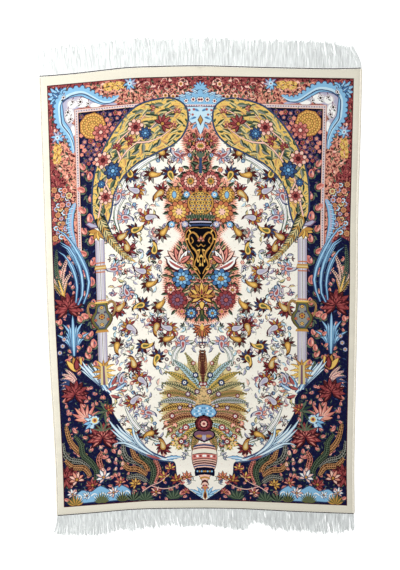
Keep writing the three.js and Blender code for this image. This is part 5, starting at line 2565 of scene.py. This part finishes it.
@dataclass
class Selvedge:
    """The side edge overcast with ivory silk, turn beside turn."""

    lines: ClothLines
    outward: int
    width: float = 7.0
    height: float = 4.8
    gap: float = 0.3
    wrap_pitch: float = 2.4
    wrap_depth: float = 0.22
    samples_per_wrap: int = 4

    def tree(self) -> NodeTree:
        """Return the tree that sweeps a rounded section along a line and ribs it with wraps.

        Returns:
            The tree.
        """
        group, given = new_group("overcast_edge", {
            "Half Width": 3.5 * MM, "Half Height": 2.4 * MM, "Wrap Pitch": 2.4 * MM,
            "Wrap Depth": 0.22 * MM, "Step": 0.6 * MM})
        even = even_curve(group, given)
        along = add(group, "GeometryNodeSplineParameter")
        held = add(group, "GeometryNodeCaptureAttribute", None, {"Geometry": even})
        held.capture_items.new("FLOAT", "along")
        group.links.new(along.outputs["Length"], held.inputs[1])
        ring = add(group, "GeometryNodeCurvePrimitiveCircle", None, {"Resolution": 12, "Radius": 1.0})
        size = add(group, "ShaderNodeCombineXYZ", None, {"X": given.outputs["Half Width"],
                                                         "Y": given.outputs["Half Height"], "Z": 1.0})
        section = add(group, "GeometryNodeTransform", None,
                      {"Geometry": ring.outputs[0], "Scale": size.outputs[0]})
        body = add(
            group, "GeometryNodeCurveToMesh", None,
            {"Curve": held.outputs["Geometry"], "Profile Curve": section.outputs[0], "Fill Caps": True})
        turns = maths(group, "DIVIDE", held.outputs["along"], given.outputs["Wrap Pitch"])
        rib = maths(group, "SINE", maths(group, "MULTIPLY", turns, 2 * math.pi))
        depth = maths(group, "MULTIPLY", rib, given.outputs["Wrap Depth"])
        normal = add(group, "GeometryNodeInputNormal")
        push = add(group, "ShaderNodeVectorMath", {"operation": "SCALE"},
                   {0: normal.outputs[0], "Scale": depth})
        ribbed = add(group, "GeometryNodeSetPosition", None,
                     {"Geometry": body.outputs[0], "Offset": push.outputs[0]})
        finish_group(group, ribbed.outputs[0], given)
        return group

    def build(self, material: Material) -> Object:
        """Return the finished selvedge.

        Args:
            material: its finish.

        Returns:
            The finished piece.
        """
        side = "right" if self.outward > 0 else "left"
        low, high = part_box("selvedge_" + side)
        ys = np.linspace(low.y + self.gap * MM, high.y - self.gap * MM, 120)
        centre = self.lines.side(ys, self.outward) + self.outward * (self.width / 2 + self.gap) * MM
        points = np.column_stack([centre, ys, np.full_like(ys, (self.height / 2 + self.wrap_depth) * MM)])
        piece = swept(
            "overcast_" + side, points, self.tree(), {"Half Width": (self.width / 2 - self.wrap_depth)
             * MM, "Half Height": self.height / 2 * MM, "Wrap Pitch": self.wrap_pitch * MM,
             "Wrap Depth": self.wrap_depth * MM, "Step": self.wrap_pitch / self.samples_per_wrap * MM,
             "Material": material})
        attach(piece, "root")
        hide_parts("selvedge_" + side)
        log.info("%s has %d faces", piece.name, len(piece.data.polygons))
        return piece


@dataclass
class EndCord:
    """The dark two-strand cord twined across an end."""

    lines: ClothLines
    outward: int
    strand: float = 1.9
    spread: float = 0.85
    twist_pitch: float = 8.0
    step: float = 0.9
    gap: float = 0.3
    width: float = 3.6

    def tree(self) -> NodeTree:
        """Return the tree that winds two strands around a line.

        Returns:
            The tree.
        """
        group, given = new_group("twined_cord", {"Strand Radius": 0.95 * MM, "Spread": 0.85 * MM,
                                                 "Twist Pitch": 8 * MM, "Step": 0.9 * MM})
        even = even_curve(group, given)
        along = add(group, "GeometryNodeSplineParameter").outputs["Length"]
        turns = maths(group, "DIVIDE", along, given.outputs["Twist Pitch"])
        ring = add(group, "GeometryNodeCurvePrimitiveCircle", None,
                   {"Resolution": 6, "Radius": given.outputs["Strand Radius"]})
        both = add(group, "GeometryNodeJoinGeometry")
        for phase in (0.0, math.pi):
            angle = maths(group, "MULTIPLY_ADD", turns, 2 * math.pi, phase)
            aside = add(group, "ShaderNodeCombineXYZ", None,
                        {"Y": maths(group, "COSINE", angle), "Z": maths(group, "SINE", angle)})
            offset = add(group, "ShaderNodeVectorMath", {"operation": "SCALE"},
                         {0: aside.outputs[0], "Scale": given.outputs["Spread"]})
            wound = add(group, "GeometryNodeSetPosition", None,
                        {"Geometry": even, "Offset": offset.outputs[0]})
            strand = add(group, "GeometryNodeCurveToMesh", None,
                         {"Curve": wound.outputs[0], "Profile Curve": ring.outputs[0], "Fill Caps": True})
            group.links.new(strand.outputs[0], both.inputs[0])
        finish_group(group, both.outputs[0], given)
        return group

    def build(self, material: Material) -> Object:
        """Return the finished cord.

        Args:
            material: its finish.

        Returns:
            The finished piece.
        """
        end = "top" if self.outward > 0 else "bottom"
        low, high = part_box("end_cord_" + end)
        xs = np.linspace(low.x + 2 * MM, high.x - 2 * MM, 160)
        ys = self.lines.end(xs, self.outward) + self.outward * (self.gap + self.width / 2) * MM
        points = np.column_stack([xs, ys, np.full_like(xs, (self.strand / 2 + self.spread + 0.2) * MM)])
        piece = swept(
            "twined_cord_" + end, points, self.tree(), {"Strand Radius": self.strand / 2 * MM,
             "Spread": self.spread * MM, "Twist Pitch": self.twist_pitch * MM, "Step": self.step * MM,
             "Material": material})
        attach(piece, "root")
        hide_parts("end_cord_" + end)
        log.info("%s has %d faces", piece.name, len(piece.data.polygons))
        return piece


@dataclass(frozen=True)
class FringeRow:
    """The fringe at one place across an end, in millimetres."""

    x: float
    length: float
    drift: float


TOP_FRINGE = (
    FringeRow(-490, 78, 0), FringeRow(-430, 81, -6), FringeRow(-340, 83, -8), FringeRow(-215, 82, -11),
    FringeRow(-120, 81, -8), FringeRow(0, 79, -4), FringeRow(250, 79, 2), FringeRow(345, 80, -4),
    FringeRow(407, 78, -14), FringeRow(454, 68, -22), FringeRow(490, 60, -26),)
BOTTOM_FRINGE = (
    FringeRow(-490, 65, -12), FringeRow(-430, 75, -4), FringeRow(-350, 79, 2), FringeRow(-298, 67, 8),
    FringeRow(-248, 74, 10), FringeRow(-131, 59, 10), FringeRow(-60, 65, 8), FringeRow(0, 59, 6),
    FringeRow(118, 78, 8), FringeRow(152, 46, 5), FringeRow(178, 47, 8), FringeRow(204, 67, 15),
    FringeRow(318, 68, 15), FringeRow(390, 74, 10), FringeRow(458, 65, 3), FringeRow(490, 55, 3),)


@dataclass
class Fringe:
    """The loose silk warp ends of one end, drawn together in small locks."""

    lines: ClothLines
    outward: int
    rows: tuple[FringeRow, ...]
    seed: int
    locks: int = 132
    yarns_per_lock: int = 19
    yarn: float = 1.3
    root_beyond: float = 4.3
    half_width: float = 497.0
    root_height: float = 1.4
    # how much the locks differ, and the yarns in them
    lock_length: float = 2.6
    yarn_length: float = 3.6
    lock_sway: float = 0.7
    yarn_sway: float = 0.35
    lock_lean: float = 1.8
    yarn_lean: float = 1.6
    stray_reach: float = 9.0
    stray_share: float = 0.08
    pile_up: float = 1.3

    def tree(self) -> NodeTree:
        """Return the tree that grows one bent, tapering yarn from each point.

        Returns:
            The tree.
        """
        group, given = new_group("warp_ends", {"Yarn Radius": 0.45 * MM, "Root Height": 1.6 * MM,
                                               "Outward": 1.0})
        seed_line = add(group, "GeometryNodeCurvePrimitiveLine", None,
                        {"Start": (0, 0, 0), "End": (0, MM, 0)})
        stations = add(group, "GeometryNodeResampleCurve", None,
                       {"Curve": seed_line.outputs[0], "Count": 8})
        copies = add(group, "GeometryNodeInstanceOnPoints", None,
                     {"Points": given.outputs["Geometry"], "Instance": stations.outputs[0]})
        real = add(group, "GeometryNodeRealizeInstances", None, {"Geometry": copies.outputs[0]})
        share = add(group, "GeometryNodeSplineParameter").outputs["Factor"]
        read = {
            key: add(group, "GeometryNodeInputNamedAttribute", {"data_type": "FLOAT"},
             {"Name": key}).outputs["Attribute"] for key in ("reach", "drift", "sway", "layer")}
        lean = maths(group, "MULTIPLY", maths(group, "POWER", share, 1.5), read["drift"])
        curl = maths(group, "SINE", maths(group, "MULTIPLY", share, 2 * math.pi))
        across = maths(group, "MULTIPLY_ADD", curl, read["sway"], lean)
        reach = maths(group, "MULTIPLY", share, read["reach"])
        along = maths(group, "MULTIPLY", reach, given.outputs["Outward"])
        fall = maths(group, "POWER", maths(group, "SUBTRACT", 1.0, share), 3.0)
        high = maths(group, "MULTIPLY_ADD", fall, given.outputs["Root Height"], read["layer"])
        offset = add(group, "ShaderNodeCombineXYZ", None, {"X": across, "Y": along, "Z": high})
        laid = add(group, "GeometryNodeSetPosition", None,
                   {"Geometry": real.outputs[0], "Offset": offset.outputs[0]})
        thin = maths(group, "MULTIPLY_ADD", share, -0.12, 1.0)
        tapered = add(group, "GeometryNodeSetCurveRadius", None, {"Curve": laid.outputs[0], "Radius": thin})
        ring = add(group, "GeometryNodeCurvePrimitiveCircle", None,
                   {"Resolution": 4, "Radius": given.outputs["Yarn Radius"]})
        body = add(group, "GeometryNodeCurveToMesh", None,
                   {"Curve": tapered.outputs[0], "Profile Curve": ring.outputs[0],
                    "Scale": add(group, "GeometryNodeInputRadius").outputs[0], "Fill Caps": True})
        finish_group(group, body.outputs[0], given)
        return group

    def build(self, material: Material) -> Object:
        """Return the finished fringe.

        Args:
            material: its finish.

        Returns:
            The finished piece.
        """
        rng = np.random.default_rng(self.seed)
        end = "top" if self.outward > 0 else "bottom"
        count = self.locks * self.yarns_per_lock
        lock = np.repeat(np.arange(self.locks), self.yarns_per_lock)
        within_lock = np.tile((np.arange(self.yarns_per_lock) + 0.5) / self.yarns_per_lock - 0.5,
                              self.locks)
        pitch = 2 * self.half_width / self.locks
        lock_x = -self.half_width + (lock + 0.5) * pitch
        x = lock_x + within_lock * pitch + rng.uniform(-0.2, 0.2, count)
        table = np.array([(r.x, r.length, r.drift) for r in self.rows])
        lock_length = rng.normal(0, self.lock_length, self.locks)[lock]
        yarn_length = rng.normal(-2.0, self.yarn_length, count)
        reach = np.interp(x, table[:, 0], table[:, 1]) + lock_length + yarn_length
        gather = -within_lock * pitch * rng.uniform(0.0, 0.22, self.locks)[lock]
        sway = rng.normal(0, self.lock_sway, self.locks)[lock] + rng.normal(0, self.yarn_sway, count)
        lock_lean = rng.normal(0, self.lock_lean, self.locks)[lock]
        lean = rng.normal(0, self.yarn_lean, count)
        stray = rng.uniform(-self.stray_reach, self.stray_reach,
                            count) * (rng.random(count) < self.stray_share)
        drift = np.interp(x, table[:, 0], table[:, 2]) + gather + lock_lean + lean + stray
        ys = self.lines.end(x * MM, self.outward) + self.outward * self.root_beyond * MM
        layer = rng.uniform(0.0, self.pile_up, count)
        points = np.column_stack([x * MM, ys, np.full(count, self.yarn / 2 * MM + 0.05 * MM)])
        piece = swept(
            "warp_ends_" + end, points, self.tree(), {"Yarn Radius": self.yarn / 2 * MM,
             "Root Height": self.root_height * MM, "Outward": float(self.outward), "Material": material},
            {"reach": reach * MM, "drift": drift * MM, "sway": sway * MM, "layer": layer * MM}, False)
        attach(piece, "root")
        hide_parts("fringe_" + end)
        log.info("%s has %d faces", piece.name, len(piece.data.polygons))
        return piece


@dataclass
class Studio:
    """The pale floor, the soft light from the left and the camera above the rug."""

    camera_place: tuple[float, float, float] = (0.0131, 0.6139, 3.1527)
    camera_turn_deg: tuple[float, float, float] = (-10.403, 0.268, -0.690)
    lens_mm: float = 63.16
    sensor_mm: float = 36.0

    def build(self) -> None:
        """Make the floor, the lights and the camera."""
        half = 6.0
        corners = np.array([(-half, -half, -0.3 * MM), (half, -half, -0.3 * MM), (half, half, -0.3 * MM),
                            (-half, half, -0.3 * MM)])
        floor = mesh_object("floor", corners, np.array([(0, 1, 2), (0, 2, 3)]))
        # light comes up through the sheet, so that it stays white around the rug
        paint, _, shader = new_material("backlit_opal_acrylic")
        shader.inputs["Base Color"].default_value = linear("FCFCFC")
        shader.inputs["Roughness"].default_value = 0.9
        shader.inputs["Emission Color"].default_value = linear("FFFFFF")
        shader.inputs["Emission Strength"].default_value = 0.7
        floor.data.materials.append(paint)
        self.add_light("window_left", (-1.5, 0.75, 1.75), 55.0, 1.3)
        self.add_light("fill_right", (2.2, -0.9, 2.6), 10.0, 3.0)
        world = bpy.data.worlds.new("studio")
        bpy.context.scene.world = world
        world.use_nodes = True
        world.node_tree.nodes["Background"].inputs["Color"].default_value = linear("F7F9FC")
        world.node_tree.nodes["Background"].inputs["Strength"].default_value = 0.43
        bpy.context.scene.view_settings.view_transform = "Standard"
        camera = bpy.data.cameras.new("camera")
        camera.lens = self.lens_mm
        camera.sensor_width = self.sensor_mm
        camera.clip_end = 30.0
        eye = bpy.data.objects.new("camera", camera)
        eye.location = self.camera_place
        eye.rotation_euler = [math.radians(a) for a in self.camera_turn_deg]
        bpy.context.scene.collection.objects.link(eye)
        bpy.context.scene.camera = eye

    def add_light(self, name: str, place: tuple[float, float, float], watts: float, size: float) -> None:
        """Add a square soft light that faces the rug's middle.

        Args:
            name: its name.
            place: where it hangs, in metres.
            watts: its power.
            size: the side of its square, in metres.
        """
        lamp = bpy.data.lights.new(name, "AREA")
        lamp.energy = watts
        lamp.size = size
        light = bpy.data.objects.new(name, lamp)
        light.location = place
        light.rotation_euler = Vector(place).to_track_quat("Z", "Y").to_euler()
        bpy.context.scene.collection.objects.link(light)


def main() -> None:
    """Build the rug and its studio, piece by piece."""
    logging.basicConfig(level=logging.INFO, format="%(name)s: %(message)s")
    Studio().build()
    lines = ClothLines.from_frame()
    pile, back = KnottedCloth(lines).build()
    # reeled silk wound close: cream, with a soft shine that breaks at every turn
    edge_silk = SpunYarn("overcast_ivory_silk", "EDE7D6", 0.6, 0.2, 0.7).make()
    # hard-spun dark wool: nearly black and dull, so each end reads as a fine line
    dark_yarn = SpunYarn("twined_dark_wool", "1F1919", 0.85, 0.0, 0.5).make()
    # undyed silk left loose: white, its brightness uneven from yarn to yarn in long streaks, partly the
    # silk's own tone and partly painted shade between the yarns
    white_silk = SpunYarn("loose_white_silk", "F3F6F4", 0.5, 0.2, 0.5, 0.24, (2.4, 0.22, 1.0)).make()
    trims = [
        Selvedge(lines, -1).build(edge_silk), Selvedge(lines, 1).build(edge_silk),
        EndCord(lines, 1).build(dark_yarn), EndCord(lines, -1).build(dark_yarn),
        Fringe(lines, 1, TOP_FRINGE, 4).build(white_silk),
        Fringe(lines, -1, BOTTOM_FRINGE, 8).build(white_silk)]


if __name__ == "__main__":
    main()
